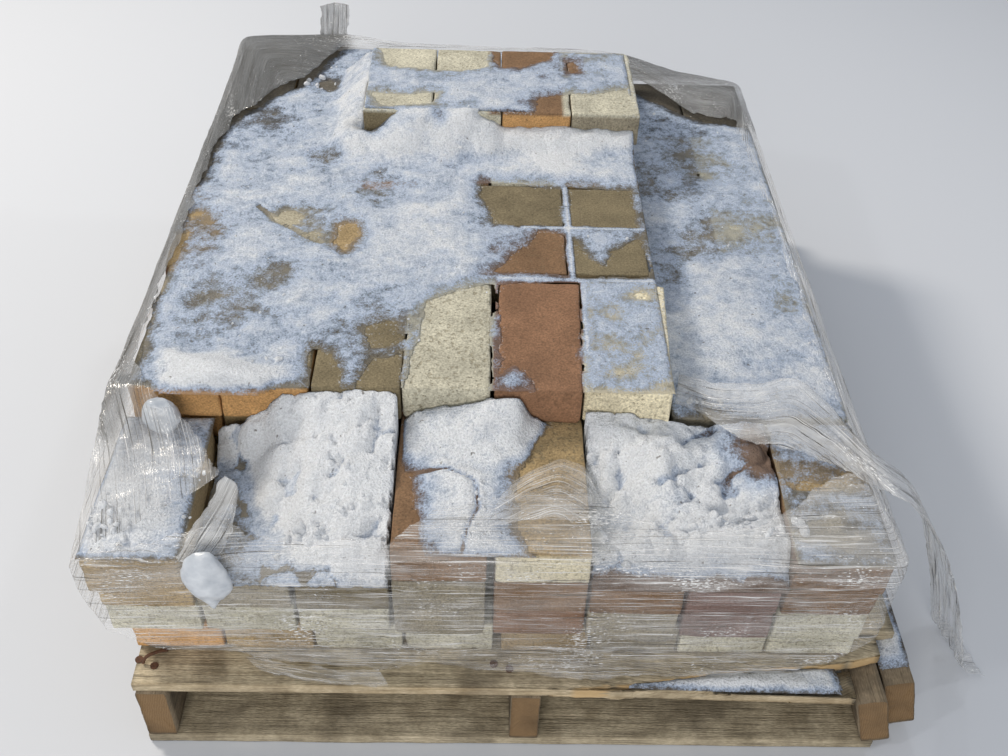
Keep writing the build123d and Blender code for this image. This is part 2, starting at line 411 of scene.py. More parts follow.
def snowDepth(x, y, level):
    # thickness in mm at places in mm; below zero is bare brick
    spots = flatSpots(x, y, levelTop[level])
    look = snowLook
    depth = look["depth"][level] + look["swell"] * roughNoise(spots, 80, 3)
    depth += look["ripple"] * roughNoise(spots, (34, 18, 30), 5) + look["grain"] * roughNoise(spots, 10, 7)
    for *heap, extra in snowSpots[level]:
        depth += extra * heapAt(x, y, *heap)
    for outline in snowSlabs.get(level, []):
        depth += look["slab"] * smoothStep(-outlineDistance(x, y, outline), -1.5, 3.5)
    wander = look["edgeWander"] * roughNoise(spots, 30, 11) + 3.0 * roughNoise(spots, 8, 12, 2)
    for outline in barePatches[level]:
        rim = look["edgeSlope"] * (outlineDistance(x, y, outline) + wander)
        depth = np.minimum(depth, np.maximum(rim, -9))
    for line in snowCracks.get(level, []):
        depth -= look["crack"] * np.exp(-(lineDistance(x, y, line) / 2.6) ** 2)
    for line in snowJoints.get(level, []):
        depth = np.where(lineDistance(x, y, line) < 4, np.maximum(depth, 0.9), depth)
    return depth


def snowCover(x, y, level, depth):
    # how much of the brick the snow hides, before the grain of the material
    cover = snowLook["coverPerMm"] * depth
    for line in snowJoints.get(level, []):
        cover = cover + 0.8 * np.exp(-(lineDistance(x, y, line) / 2.6) ** 2)
    for line in snowCracks.get(level, []):
        cover = cover - 0.9 * np.exp(-(lineDistance(x, y, line) / 2.4) ** 2)
    return cover


# Bricks: each course keeps its places from the frame, and every brick gets its own tone and wear

tones = dict(
    cream="#bbb8a7", pale="#d4ccb2", tan="#9c8865", olive="#786e57", orange="#b68e5e", red="#84644d",
    brown="#7a6048", grey="#8b8473", purple="#75605a", sooty="#5e5a52", ash="#a39d8a",
)
# How deep the face of a brick of that tone is pitted, from 0 to 1
rough = dict(cream=1.0, pale=1.0, grey=0.7, tan=0.45, olive=0.3, orange=0.15, red=0.1, brown=0.2, purple=0.1)

# Tones of the front row of each course, from the left, as the photo shows them
frontTones = dict(
    course_1=("orange", "tan", "cream", "cream", "tan", "grey", "cream", "cream"),
    course_2=("cream", "cream", "cream", "grey", "red", "grey", "purple", "cream"),
    course_3=("tan", "grey", "olive", "grey", "brown", "brown", "purple", "brown"),
    course_4=("tan", "brown", "pale", "brown"),
    course_5=("orange", "orange", "olive", "cream", "red", "pale"),
    course_6=("olive", "cream", "orange", "grey"),
)
# Tops that differ from the front of their brick, or in part: left, front, right and back in mm, and the tone
topTones = dict(
    course_4=((-110, -525, -3, -312, "brown"), (0, -525, 112, -312, "tan"), (205, 330, 420, 520, "sooty"),
              (205, -312, 312, 330, "grey"), (312, -525, 420, -312, "grey"), (312, -420, 420, -350, "tan"),
              (-420, -525, -310, -312, "grey"), (312, -312, 420, 330, "cream")),
    course_5=((-420, -330, -212, -120, "grey"), (-212, -330, -108, -120, "olive"),
              (-420, -120, -320, 80, "tan"),
              (-320, -120, -108, 80, "grey"), (-300, -60, -212, 60, "ash"), (-212, -75, -160, 10, "tan"),
              (-420, 80, -350, 520, "sooty"), (-350, 190, -213, 520, "sooty"),
              (-350, 80, -213, 190, "olive"), (-110, -120, 101, -4, "brown"), (102, -120, 210, 100, "olive")),
    course_6=((-212, 200, -90, 520, "cream"), (-4, 200, 103, 520, "brown"), (103, 200, 212, 520, "cream"),
              (104, 325, 140, 390, "brown")),
)
tonePool = ("cream", "tan", "grey", "olive", "brown", "orange", "cream", "grey", "red", "tan")
backTones = {  # bricks behind the front row that show: (course, row from the front, place from the left)
    ("course_5", 1, 4): "tan", ("course_5", 1, 5): "red", ("course_5", 2, 0): "olive",
    ("course_5", 3, 5): "tan", ("course_5", 4, 5): "grey",
}

brickLook = dict(
    size=(100 * mm, 200 * mm, 50 * mm),
    unevenTone=0.09,  # how much lighter or darker than its tone a brick may be
    edgeRadius=2.6 * mm,
    faceRelief=0.5 * mm,
    chipDepth=5.5 * mm,
    wearReach=10 * mm,
    coarseGrid=(10, 15, 8),  # points across, along and up
    fineGrid=(16, 27, 9),  # for the two courses on top
    seed=5,
)


def splitBricks(node):
    # the places of the bricks in a course: centre and turn of each, from a merged copy of the node's mesh
    work = bmesh.new()
    work.from_mesh(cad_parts[node].data)
    bmesh.ops.remove_doubles(work, verts=work.verts, dist=0.02 * mm)
    waiting = set(work.verts)
    places = []
    while waiting:
        group = [waiting.pop()]
        for vert in group:
            for edge in vert.link_edges:
                other = edge.other_vert(vert)
                if other in waiting:
                    waiting.remove(other)
                    group.append(other)
        corners = np.array([vert.co for vert in group])
        centre = (corners.min(axis=0) + corners.max(axis=0)) / 2
        flat = corners[:, :2] - centre[:2]
        _, axes = np.linalg.eigh(flat.T @ flat)
        longWay = axes[:, 1] if axes[1, 1] > 0 else -axes[:, 1]
        turn = math.atan2(-longWay[0], longWay[1])
        places.append((*centre, turn))
    work.free()
    return sorted(places, key=lambda spot: (round(spot[1], 1), spot[0]))


laidBricks = {}  # for each course, the place, turn and tone of its bricks


def toneUnder(x, y, course):
    # the tone of the brick at or nearest to each place, places in mm
    nearest = np.full(len(x), 1e9)
    colour = np.ones((len(x), 4))
    for (centreX, centreY, _, turn), tone in laidBricks[course]:
        awayX, awayY = x - centreX / mm, y - centreY / mm
        across = awayX * math.cos(turn) + awayY * math.sin(turn)
        along = awayY * math.cos(turn) - awayX * math.sin(turn)
        out = np.maximum(np.abs(across) / 50, np.abs(along) / 100)
        nearer = out < nearest
        nearest[nearer] = out[nearer]
        colour[nearer] = tone
    return retone(x, y, course, colour)


def retone(x, y, course, colour):
    for left, front, right, back, name in topTones.get(course, ()):
        colour[(x > left) & (x < right) & (y > front) & (y < back)] = toLinear(tones[name])
    return colour


def courseRows(places):
    # bricks from front to back in rows, each from left to right
    rows = []
    for spot in sorted(places, key=lambda spot: spot[1]):
        if rows and spot[1] - rows[-1][0][1] < 0.06:
            rows[-1].append(spot)
        else:
            rows.append([spot])
    return [sorted(row, key=lambda spot: spot[0]) for row in rows]


def buildBrickTree():
    # Geometry Nodes: one worn brick, set on every place, then each one chipped its own way
    tree, add, given = newTree("wornBricks", {
        "Places": "Geometry", "Brick Size": "Vector", "Edge Radius": "Float", "Wear Reach": "Float",
        "Face Relief": "Float", "Chip Depth": "Float", "Across": "Int", "Along": "Int", "Up": "Int",
        "Finish": "Material"})
    cube = add("GeometryNodeMeshCube", {
        "Size": (2, 2, 2), "Vertices X": given["Across"], "Vertices Y": given["Along"],
        "Vertices Z": given["Up"]})
    at = add("GeometryNodeInputPosition")
    size = add(vectorNode, {0: at}, operation="ABSOLUTE")
    room = add(vectorNode, {0: (2, 2, 2), 1: size}, operation="SUBTRACT")
    crowded = add(vectorNode, {0: at, 1: room}, operation="MULTIPLY")
    half = add(vectorNode, {0: given["Brick Size"], "Scale": 0.5}, operation="SCALE")
    spot = add(vectorNode, {0: crowded, 1: half}, operation="MULTIPLY")
    # from the nearest place of a smaller box inside the brick out to the point, for two sizes of that box
    cores, outwards = [], []
    for amount in (given["Edge Radius"], given["Wear Reach"]):
        inner = add(vectorNode, {0: half, 1: amount}, operation="SUBTRACT")
        outer = add(vectorNode, {0: inner, "Scale": -1}, operation="SCALE")
        low = add(vectorNode, {0: spot, 1: outer}, operation="MAXIMUM")
        cores.append(add(vectorNode, {0: low, 1: inner}, operation="MINIMUM"))
        outwards.append(add(vectorNode, {0: spot, 1: cores[-1]}, operation="SUBTRACT"))
    unit = add(vectorNode, {0: outwards[0]}, operation="NORMALIZE")
    rim = add(vectorNode, {0: unit, "Scale": given["Edge Radius"]}, operation="SCALE")
    rounded = add(vectorNode, {0: cores[0], 1: rim}, operation="ADD")
    far = add(vectorNode, {0: outwards[1]}, operation="LENGTH")
    share = add(mathNode, {0: far, 1: given["Wear Reach"]}, operation="DIVIDE")
    wear = add(mathNode, {0: share, 1: 1.0}, operation="SUBTRACT", use_clamp=True)
    kept = add("GeometryNodeStoreNamedAttribute", {"Geometry": cube, "Name": "wear", "Value": wear},
               data_type="FLOAT", domain="POINT")
    brick = add("GeometryNodeSetPosition", {"Geometry": kept, "Position": rounded})
    turn, own, coarse, worn = (
        add("GeometryNodeInputNamedAttribute", {"Name": name}, data_type="FLOAT")
        for name in ("turn", "own", "pitting", "wear"))
    euler = add("ShaderNodeCombineXYZ", {"Z": turn})
    facing = add("FunctionNodeEulerToRotation", {0: euler})
    laid = add("GeometryNodeInstanceOnPoints", {
        "Points": given["Places"], "Instance": brick, "Rotation": facing})
    real = add("GeometryNodeRealizeInstances", {"Geometry": laid})
    # relief: pits on the faces, chips along the edges, all of it inwards
    shifted = add(vectorNode, {0: add("GeometryNodeInputPosition"), 1: own}, operation="ADD")
    faceNoise, chipNoise = (
        add(noiseNode, {"Vector": shifted, "Scale": 1 / cell, "Detail": detail})
        for cell, detail in ((0.016, 3.0), (0.021, 2.5)))
    strength = add(mathNode, {0: coarse, 1: 1.6, 2: 0.6}, operation="MULTIPLY_ADD")
    chipShape = add(rangeNode, {
        "Value": chipNoise, "From Min": 0.50, "From Max": 0.72, "To Min": 0.10, "To Max": 1.0},
        interpolation_type="SMOOTHSTEP")
    parts = []
    for shape, where, depth in ((faceNoise, strength, "Face Relief"), (chipShape, worn, "Chip Depth")):
        part = add(mathNode, {0: shape, 1: where}, operation="MULTIPLY")
        parts.append(add(mathNode, {0: part, 1: given[depth]}, operation="MULTIPLY"))
    inwards = add(mathNode, {0: parts[0], 1: parts[1]}, operation="ADD")
    back = add(mathNode, {0: inwards, 1: -1.0}, operation="MULTIPLY")
    normal = add("GeometryNodeInputNormal")
    offset = add(vectorNode, {0: normal, "Scale": back}, operation="SCALE")
    chipped = add("GeometryNodeSetPosition", {"Geometry": real, "Offset": offset})
    finished = add("GeometryNodeSetMaterial", {"Geometry": chipped, "Material": given["Finish"]})
    add("NodeGroupOutput", {0: finished})
    return tree


def frostOn(points, level):
    # how much rime a brick carries near the snow, from 0 to 1; places in mm
    depth = snowDepth(points[:, 0], points[:, 1], level)
    below = levelTop[level] - points[:, 2]
    return 0.5 * smoothStep(depth, -3.2, 0.8) * smoothStep(below, 9.0, 1.0)


def makeCourse(node, tree, material, draws):
    spots, colours, pits = [], [], []
    for rowAt, row in enumerate(courseRows(splitBricks(node))):
        for placeAt, spot in enumerate(row):
            name = tonePool[draws.integers(len(tonePool))]
            if rowAt == 0:
                name = frontTones[node][placeAt]
            name = backTones.get((node, rowAt, placeAt), name)
            light = 1 + brickLook["unevenTone"] * draws.uniform(-1, 1)
            spots.append(spot)
            colours.append([channel * light for channel in toLinear(tones[name])[:3]] + [1.0])
            pits.append(rough[name])
    laidBricks[node] = list(zip(spots, colours))
    places = np.array(spots)
    values = {"turn": places[:, 3], "own": draws.uniform(0, 40, len(spots)), "pitting": pits, "tone": colours}
    across, along, up = brickLook["fineGrid" if node in ("course_5", "course_6") else "coarseGrid"]
    piece = growPiece(f"bricks_{node}", places[:, :3], values, tree, {
        "Brick Size": brickLook["size"], "Edge Radius": brickLook["edgeRadius"],
        "Wear Reach": brickLook["wearReach"], "Face Relief": brickLook["faceRelief"],
        "Chip Depth": brickLook["chipDepth"], "Across": across, "Along": along, "Up": up, "Finish": material},
        node)
    mesh = piece.data
    mesh.shade_smooth()
    points = np.zeros(len(mesh.vertices) * 3)
    mesh.vertices.foreach_get("co", points)
    points = points.reshape(-1, 3) / mm
    frost = np.zeros(len(points))
    if node in topTones:
        level = levelOf[node]
        shown = np.zeros(len(points) * 4)
        mesh.attributes["tone"].data.foreach_get("color", shown)
        shown = shown.reshape(-1, 4)
        onTop = points[:, 2] > levelTop[level] - 4
        shown[onTop] = retone(points[onTop, 0], points[onTop, 1], node, shown[onTop])
        mesh.attributes["tone"].data.foreach_set("color", shown.ravel())
        frost = frostOn(points, level)
    setValues(mesh, "frost", frost)


def firedClay():
    # fired clay paving brick, pressed and kiln burnt: matt and sandy, its tone uneven in clouds and dark
    # specks, with rime where snow lay
    material, add = newMaterial("firedClay")
    place = add("ShaderNodeTexCoord").outputs["Object"]
    tone, own, pitting, frost = (
        add("ShaderNodeAttribute", attribute_name=name).outputs[output]
        for name, output in (("tone", "Color"), ("own", "Fac"), ("pitting", "Fac"), ("frost", "Fac")))
    moved = add(vectorNode, {0: place, 1: own}, operation="ADD")
    clouds, sand, specks, pits, rime = (
        add(noiseNode, {"Vector": at, "Scale": 1 / cell, "Detail": detail, "Roughness": uneven})
        for at, cell, detail, uneven in (
            (moved, 0.038, 4.0, 0.5),  # burn clouds of 38 mm
            (moved, 0.0024, 2.0, 0.5),  # sand of 2.4 mm, drawn coarse to show
            (moved, 0.0034, 1.0, 0.5),  # iron specks of 3 mm
            (moved, 0.0052, 3.0, 0.5),  # pits of 5 mm in the rough cream bricks
            (place, 0.0034, 5.0, 0.65)))  # rime grains, 3.4 mm
    rimeEdge = add(mathNode, {0: frost, 1: -0.62, 2: 0.86}, operation="MULTIPLY_ADD")
    rimeOver = add(mathNode, {0: rime, 1: rimeEdge}, operation="SUBTRACT")
    cloudLight, sandLight, speckMask, pitShape, rimeMask = (
        add(rangeNode, {"Value": of, "From Min": low, "From Max": high, "To Min": a, "To Max": b})
        for of, low, high, a, b in (
            (clouds, 0.3, 0.7, 0.80, 1.17), (sand, 0.25, 0.75, 0.62, 1.34), (specks, 0.66, 0.75, 0.0, 0.55),
            (pits, 0.56, 0.66, 0.0, 1.0), (rimeOver, -0.06, 0.14, 0.0, 0.75)))
    light = add(mathNode, {0: cloudLight, 1: sandLight}, operation="MULTIPLY")
    pitMask = add(mathNode, {0: pitShape, 1: pitting}, operation="MULTIPLY")
    pitDark = add(mathNode, {0: pitMask, 1: 0.5}, operation="MULTIPLY")
    painted = add(vectorNode, {0: tone, "Scale": light}, operation="SCALE")
    for mask, colour in ((speckMask, "#3d352c"), (pitDark, "#7a725c"), (rimeMask, "#c9d1dc")):
        painted = add(mixNode, {0: mask, 6: painted, 7: colour}, data_type="RGBA")
    deep = add(mathNode, {0: pitMask, 1: -1.4, 2: sand}, operation="MULTIPLY_ADD")
    bump = add(bumpNode, {"Strength": 0.55, "Distance": 0.0011, "Height": deep})
    return finishMaterial(material, {
        "Base Color": painted, "Roughness": 0.9, "Specular IOR Level": 0.3, "Normal": bump})


# Snow: closed crusty layers over the courses, drifts in the two holes

def heightPiece(name, xRange, yRange, step, topOf, bottomOf, coverOf, toneOf, material):
    # a closed layer between two height functions, kept where it is thick enough (all in mm)
    xs = np.arange(xRange[0], xRange[1] + step / 2, step)
    ys = np.arange(yRange[0], yRange[1] + step / 2, step)
    gridX, gridY = np.meshgrid(xs, ys)
    x, y = gridX.ravel(), gridY.ravel()
    top = topOf(x, y)
    bottom = bottomOf(x, y)
    raw = top - bottom
    thinnest = snowLook["thinnest"]
    cover = coverOf(x, y, raw)
    index = np.arange(len(x)).reshape(len(ys), len(xs))
    cells = np.stack([index[:-1, :-1], index[:-1, 1:], index[1:, 1:], index[1:, :-1]], axis=-1).reshape(-1, 4)
    thick = raw[cells].max(axis=1)
    jump = bottom[cells].max(axis=1) - bottom[cells].min(axis=1)
    cells = cells[(thick > thinnest) & (jump < snowLook["steepest"])]
    top = np.maximum(top, bottom + 0.85)
    edges = {(a, b) for cell in cells.tolist() for a, b in zip(cell, cell[1:] + cell[:1])}
    rim = [(a, b) for (a, b) in edges if (b, a) not in edges]
    # the rim is moved to the line where the layer ends, so that it isn't stepped
    border = np.unique(rim)
    slopeY, slopeX = np.gradient(raw.reshape(index.shape), step)
    slopeX, slopeY = slopeX.ravel()[border], slopeY.ravel()[border]
    shift = (thinnest - raw[border]) / np.maximum(slopeX ** 2 + slopeY ** 2, 1e-3)
    for places, slope, span in ((x, slopeX, xRange), (y, slopeY, yRange)):
        places[border] = np.clip(places[border] + np.clip(shift * slope, -0.55 * step, 0.55 * step), *span)
    count = len(x)
    points = np.concatenate([np.stack([x, y, top], axis=1), np.stack([x, y, bottom], axis=1)]) * mm
    faces = cells.tolist() + (cells[:, ::-1] + count).tolist()
    faces += [[b, a, a + count, b + count] for a, b in rim]
    used = np.unique(np.ravel(faces))
    renumber = np.zeros(len(points), np.int64)
    renumber[used] = np.arange(len(used))
    values = {"cover": np.tile(cover, 2)[used], "under": np.tile(toneOf(x, y), (2, 1))[used]}
    makePiece(name, points[used], renumber[np.array(faces)], material, values)


surfaces = {}  # the top of each layer as a function of places in mm, for the crumbs that lie on it


# The snow on the top block, and the bank of it against the sixth course, in mm
blockLook = dict(
    edge=(-417, 204, -338, 506),  # left, right, front and back
    front=-324,  # where the bricks end; further out the snow hangs over them as a lip
    lip=12.0,
    bankHeight=49,  # at the left, and how much lower it is at the right
    bankLower=27,
    bankReach=70,
    bankShorter=22,
    hollow=(-186, 222, math.sqrt(1500)),  # scoured at the corner of the course: x, y and reach
    behindShare=0.35,  # how high the bank is behind the course, and its reach there
    behindReach=26,
    drawnUp=9,  # how far the underside of the bank stays below its top
)


def blockSnow(material):
    look = blockLook
    low, high = boxOf("course_6")
    left, right, front, back = look["edge"]

    def bankOf(x, y):
        # whether a place is on the sixth course, and how high the bank beside it is
        away = np.hypot(np.maximum(np.maximum(low[0] - x, x - high[0]), 0),
                        np.maximum(np.maximum(low[1] - y, y - high[1]), 0))
        spots = flatSpots(x, y)
        leftward = np.clip((low[0] - x) / np.maximum(away, 1e-6), 0, 1)
        rightward = smoothStep(x + 16 * roughNoise(spots, 46, 35), -50, 22)
        height = (look["bankHeight"] - look["bankLower"] * rightward) * (1 - 0.22 * leftward)
        height += 8 * roughNoise(spots, 30, 33)
        height *= 1 - 0.8 * heapAt(x, y, *look["hollow"])
        reach = look["bankReach"] - look["bankShorter"] * smoothStep(x, -20, 60) - 8 * leftward
        reach += 14 * roughNoise(spots, 50, 31)
        height = np.where(y > high[1], look["behindShare"] * height, height)
        reach = np.where(y > high[1], look["behindReach"], reach)
        return away <= 0, height * (1 - smoothStep(away, 0, reach))

    def depthOf(x, y):
        onSixth, bank = bankOf(x, y)
        inset = np.minimum(np.minimum(high[0] - x, y - low[1] + 60 * (x < -10)), high[1] - y)
        depth = np.where(onSixth, snowDepth(x, y, "sixth") - 3.5 * (1 - smoothStep(inset, 0, 9)),
                         snowDepth(x, y, "fifth") + 2 * smoothStep(bank, 1, 12))
        lip = look["lip"] * smoothStep(x, -385, -360) * (1 - smoothStep(x, -262, -240))
        kept = smoothStep(y - look["front"], -0.5 - lip, 14 - 8 * lip / look["lip"])
        side = np.minimum(np.minimum(x - left, right - x), back - y)
        return np.where(depth > 0, depth * kept * smoothStep(side, -3, 7), depth)

    def topOf(x, y):
        onSixth, bank = bankOf(x, y)
        return np.where(onSixth, levelTop["sixth"], levelTop["fifth"] + bank) + depthOf(x, y)

    def bottomOf(x, y):
        onSixth, bank = bankOf(x, y)
        under = levelTop["fifth"] + np.maximum(bank - look["drawnUp"], 0)
        return np.where(onSixth, levelTop["sixth"], under) - snowLook["sunk"]

    def coverOf(x, y, thick):
        onSixth, bank = bankOf(x, y)
        depth = np.minimum(depthOf(x, y), thick - snowLook["sunk"])
        patchy = 0.04 + 0.34 * smoothStep(x, -60, 30) + 0.3 * roughNoise(flatSpots(x, y), 24, 57)
        drifted = snowCover(x, y, "fifth", depth) + smoothStep(bank, 1, 15) * patchy
        return np.where(onSixth, snowLook["coverPerMm"] * depth, drifted)

    def toneOf(x, y):
        onSixth, bank = bankOf(x, y)
        return np.where(onSixth[:, None], toneUnder(x, y, "course_6"), toneUnder(x, y, "course_5"))

    surfaces["block"] = topOf
    heightPiece("snow_block", (left, right), (front, back), snowLook["step"], topOf, bottomOf, coverOf,
                toneOf, material)


# Snow on parts of the fourth course, in mm. A bank has its height at the back, its reach to the front, and
# where it ends at the right
snowLayers = dict(
    right_columns=dict(xRange=(209, 414), yRange=(-312, 510)),
    left_corner=dict(xRange=(-415, -314), yRange=(-526, -323)),
    middle_bricks=dict(xRange=(-104, 104), yRange=(-516, -324.5), bank=(34, 78, 44)),
    right_corner=dict(xRange=(314, 414), yRange=(-520, -318)),
)


def layerSnow(name, material, xRange, yRange, bank=None):
    def bankOf(x, y):
        if not bank:
            return x * 0
        height, reach, end = bank
        spots = flatSpots(x, y)
        wander = 14 * roughNoise(spots, 40, 37)
        height = height * (0.62 + 0.45 * smoothStep(x, -50, 5)) + 8 * roughNoise(spots, 34, 39)
        rise = smoothStep(y - yRange[1] + reach + wander, 0, reach) ** 1.4
        rightEnd = smoothStep(end - x + wander, -14, 14)
        return height * rise * rightEnd * smoothStep(x, xRange[0] + 2, xRange[0] + 22)

    def topOf(x, y):
        banked = bankOf(x, y)
        out = np.minimum(np.minimum(x - xRange[0], xRange[1] - x), y - yRange[0])
        if not bank:
            out = np.minimum(out, yRange[1] - y)
        depth = np.maximum(snowDepth(x, y, "fourth"), np.where(banked > 1, 2.0, -9))
        return levelTop["fourth"] + banked + np.where(depth > 0, depth * smoothStep(out, -2, 8), depth)

    def bottomOf(x, y):
        return np.full(len(x), levelTop["fourth"] - snowLook["sunk"])

    def coverOf(x, y, thick):
        return np.minimum(snowCover(x, y, "fourth", thick - snowLook["sunk"]), 1.25)

    surfaces[name] = topOf
    heightPiece(f"snow_{name}", xRange, yRange, snowLook["step"], topOf, bottomOf, coverOf,
                lambda x, y: toneUnder(x, y, "course_4"), material)


# Heights of the drifts in the holes, in mm above the floor: rows from front to back, places from the left
pockets = dict(
    left=dict(x=(-312, -106), y=(-520, -323), heights=(
        (277, 276, 277, 279, 283, 286), (280, 279, 281, 294, 306, 306), (278, 279, 286, 308, 319, 317),
        (278, 280, 302, 324, 332, 326), (279, 286, 320, 340, 346, 344), (300, 322, 354, 362, 364, 362))),
    right=dict(x=(106, 312), y=(-520, -323), heights=(
        (275, 275, 276, 276, 276, 278), (290, 298, 312, 318, 318, 310), (286, 286, 308, 312, 302, 306),
        (296, 304, 324, 310, 314, 321), (318, 322, 329, 315, 321, 322), (336, 334, 326, 318, 321, 322))),
    lump=24.0,  # mm, the size of a clod, and how far it stands up
    lumpHeight=9.0,
    step=3.2,  # mm between points
    floor=273.6,
)
# Dirt and bare places in the holes, and painted shade along the right hole's front and in its deep hollow: x,
# y, reach, and how much it takes from the cover
pocketDirtAndShade = dict(
    left=[(-300, -400, 26, 0.9), (-280, -470, 34, 0.5)],
    right=[(292, -348, 46, 1.7), (300, -400, 32, 1.1), (130, -520, 24, 1.2), (180, -522, 24, 1.2),
           (235, -522, 24, 1.2), (290, -520, 24, 1.2), (205, -430, 26, 0.5), (150, -440, 22, 0.5)],
)


def smoothGrid(x, y, xRange, yRange, heights):
    # a smooth surface through a few rows of heights
    table = np.asarray(heights, float)
    along = np.clip((x - xRange[0]) / (xRange[1] - xRange[0]), 0, 1) * (table.shape[1] - 1)
    deep = np.clip((y - yRange[0]) / (yRange[1] - yRange[0]), 0, 1) * (table.shape[0] - 1)
    column = np.minimum(along.astype(int), table.shape[1] - 2)
    row = np.minimum(deep.astype(int), table.shape[0] - 2)
    a = smoothStep(along - column, 0, 1)
    d = smoothStep(deep - row, 0, 1)
    front = table[row, column] * (1 - a) + table[row, column + 1] * a
    behind = table[row + 1, column] * (1 - a) + table[row + 1, column + 1] * a
    return front * (1 - d) + behind * d


def lumps(x, y, cell, seed):
    # rounded clods: how near each place is to the nearest of many scattered centres, from 0 to 1
    column, row = np.floor(x / cell), np.floor(y / cell)
    best = np.full(len(x), 9.0)
    for across in (-1, 0, 1):
        for along in (-1, 0, 1):
            centre = np.stack([column + across, row + along, column * 0], axis=1)
            jitterX = latticeNoise(centre, 1, seed)
            jitterY = latticeNoise(centre, 1, seed + 1)
            size = 0.45 + 0.6 * latticeNoise(centre, 1, seed + 2)
            dx = x / cell - (column + across + jitterX)
            dy = y / cell - (row + along + jitterY)
            best = np.minimum(best, np.hypot(dx, dy) / size)
    return np.sqrt(np.clip(1 - best ** 2, 0, 1))


def pocketSnow(side, material):
    hole = pockets[side]
    seed = 41 if side == "left" else 61

    def topOf(x, y):
        spots = flatSpots(x, y)
        height = smoothGrid(x, y, hole["x"], hole["y"], hole["heights"])
        clods = lumps(x, y, pockets["lump"], seed) + 0.5 * lumps(x + 7, y, pockets["lump"] * 0.4, seed + 5)
        soft = 0.25 + 0.75 * smoothStep(height - pockets["floor"], 6, 26)
        height += soft * (pockets["lumpHeight"] * (clods - 0.6) + 2.6 * roughNoise(spots, 36, seed))
        return height + 1.3 * roughNoise(spots, 9, seed + 3)

    def bottomOf(x, y):
        return np.full(len(x), pockets["floor"])

    def coverOf(x, y, thick):
        clods = lumps(x, y, pockets["lump"], seed)
        cover = np.minimum(0.085 * thick, 1.6) - 0.75 * (1 - smoothStep(clods, 0.1, 0.55))
        for *spot, less in pocketDirtAndShade[side]:
            cover = cover - less * heapAt(x, y, *spot)
        return cover

    def toneOf(x, y):
        # where its cover is thin the right hole shows one dark brown: dirt in its crust, and painted shade
        # along its front and in its deep hollow
        if side == "right":
            return np.tile(toLinear(tones["brown"]), (len(x), 1))
        return toneUnder(x, y, "course_3")

    surfaces[f"{side}Hole"] = topOf
    heightPiece(f"snow_{side}_hole", hole["x"], hole["y"], pockets["step"], topOf, bottomOf, coverOf, toneOf,
                material)


# Crumbs of snow, scattered in clusters: layer, centre x and y, spread x and y, how many, radius from and to
crumbClusters = (
    ("left_corner", -385, -478, 24, 30, 30, 2.5, 7.5), ("left_corner", -350, -420, 40, 60, 14, 1.5, 4),
    ("rightHole", 220, -478, 80, 22, 30, 3, 10), ("rightHole", 288, -470, 18, 26, 6, 7, 13),
    ("rightHole", 130, -484, 20, 20, 6, 4, 9), ("right_corner", 322, -470, 6, 24, 3, 5, 8),
    ("leftHole", -150, -430, 36, 60, 26, 1.8, 5), ("leftHole", -215, -475, 20, 16, 5, 4, 8),
    ("block", -250, -290, 30, 12, 5, 2, 5), ("block", -100, 80, 280, 340, 60, 1.0, 2.8),
    ("block", -275, 395, 24, 40, 9, 2, 6), ("middle_bricks", -12, -460, 10, 40, 14, 1.8, 4.5),
    ("right_columns", 310, 100, 90, 360, 26, 1.0, 3.0), ("right_columns", 240, -285, 30, 16, 8, 2, 5),
)


def buildCrumbTree():
    # Geometry Nodes: a rough ball on every place, squashed and turned its own way
    tree, add, given = newTree("snowCrumbs", {
        "Places": "Geometry", "Roughness": "Float", "Finish": "Material"})
    ball = add("GeometryNodeMeshIcoSphere", {"Radius": 1.0, "Subdivisions": 2})
    size, tilt = (add("GeometryNodeInputNamedAttribute", {"Name": name}, data_type="FLOAT_VECTOR")
                  for name in ("size", "tilt"))
    facing = add("FunctionNodeEulerToRotation", {0: tilt})
    laid = add("GeometryNodeInstanceOnPoints", {
        "Points": given["Places"], "Instance": ball, "Rotation": facing, "Scale": size})
    real = add("GeometryNodeRealizeInstances", {"Geometry": laid})
    place = add("GeometryNodeInputPosition")
    noise = add(noiseNode, {"Vector": place, "Scale": 1 / 0.009, "Detail": 3.0})  # knobs of 9 mm
    even = add(mathNode, {0: noise, 1: 0.5}, operation="SUBTRACT")
    big = add(vectorNode, {0: size}, operation="LENGTH")
    part = add(mathNode, {0: even, 1: given["Roughness"]}, operation="MULTIPLY")
    length = add(mathNode, {0: part, 1: big}, operation="MULTIPLY")
    normal = add("GeometryNodeInputNormal")
    offset = add(vectorNode, {0: normal, "Scale": length}, operation="SCALE")
    moved = add("GeometryNodeSetPosition", {"Geometry": real, "Offset": offset})
    finished = add("GeometryNodeSetMaterial", {"Geometry": moved, "Material": given["Finish"]})
    add("NodeGroupOutput", {0: finished})
    return tree


def makeCrumbs(material):
    draws = np.random.default_rng(17)
    places, sizes = [], []
    for layer, centreX, centreY, spreadX, spreadY, count, small, large in crumbClusters:
        x = centreX + spreadX * draws.uniform(-1, 1, count)
        y = centreY + spreadY * draws.uniform(-1, 1, count)
        radius = small + (large - small) * draws.uniform(0, 1, count) ** 2.2
        z = surfaces[layer](x, y) + 0.05 * radius
        places += np.stack([x, y, z], axis=1).tolist()
        sizes += (radius[:, None] * draws.uniform([0.8, 0.8, 0.55], [1.3, 1.2, 0.9], (count, 3))).tolist()
    values = {"size": np.array(sizes) * mm, "tilt": draws.uniform(0, 6.28, len(places) * 3).reshape(-1, 3)}
    piece = growPiece("snow_crumbs", np.array(places) * mm, values, buildCrumbTree(),
                      {"Roughness": 0.9, "Finish": material})
    setValues(piece.data, "cover", np.full(len(piece.data.vertices), 1.8))
    piece.data.shade_smooth()


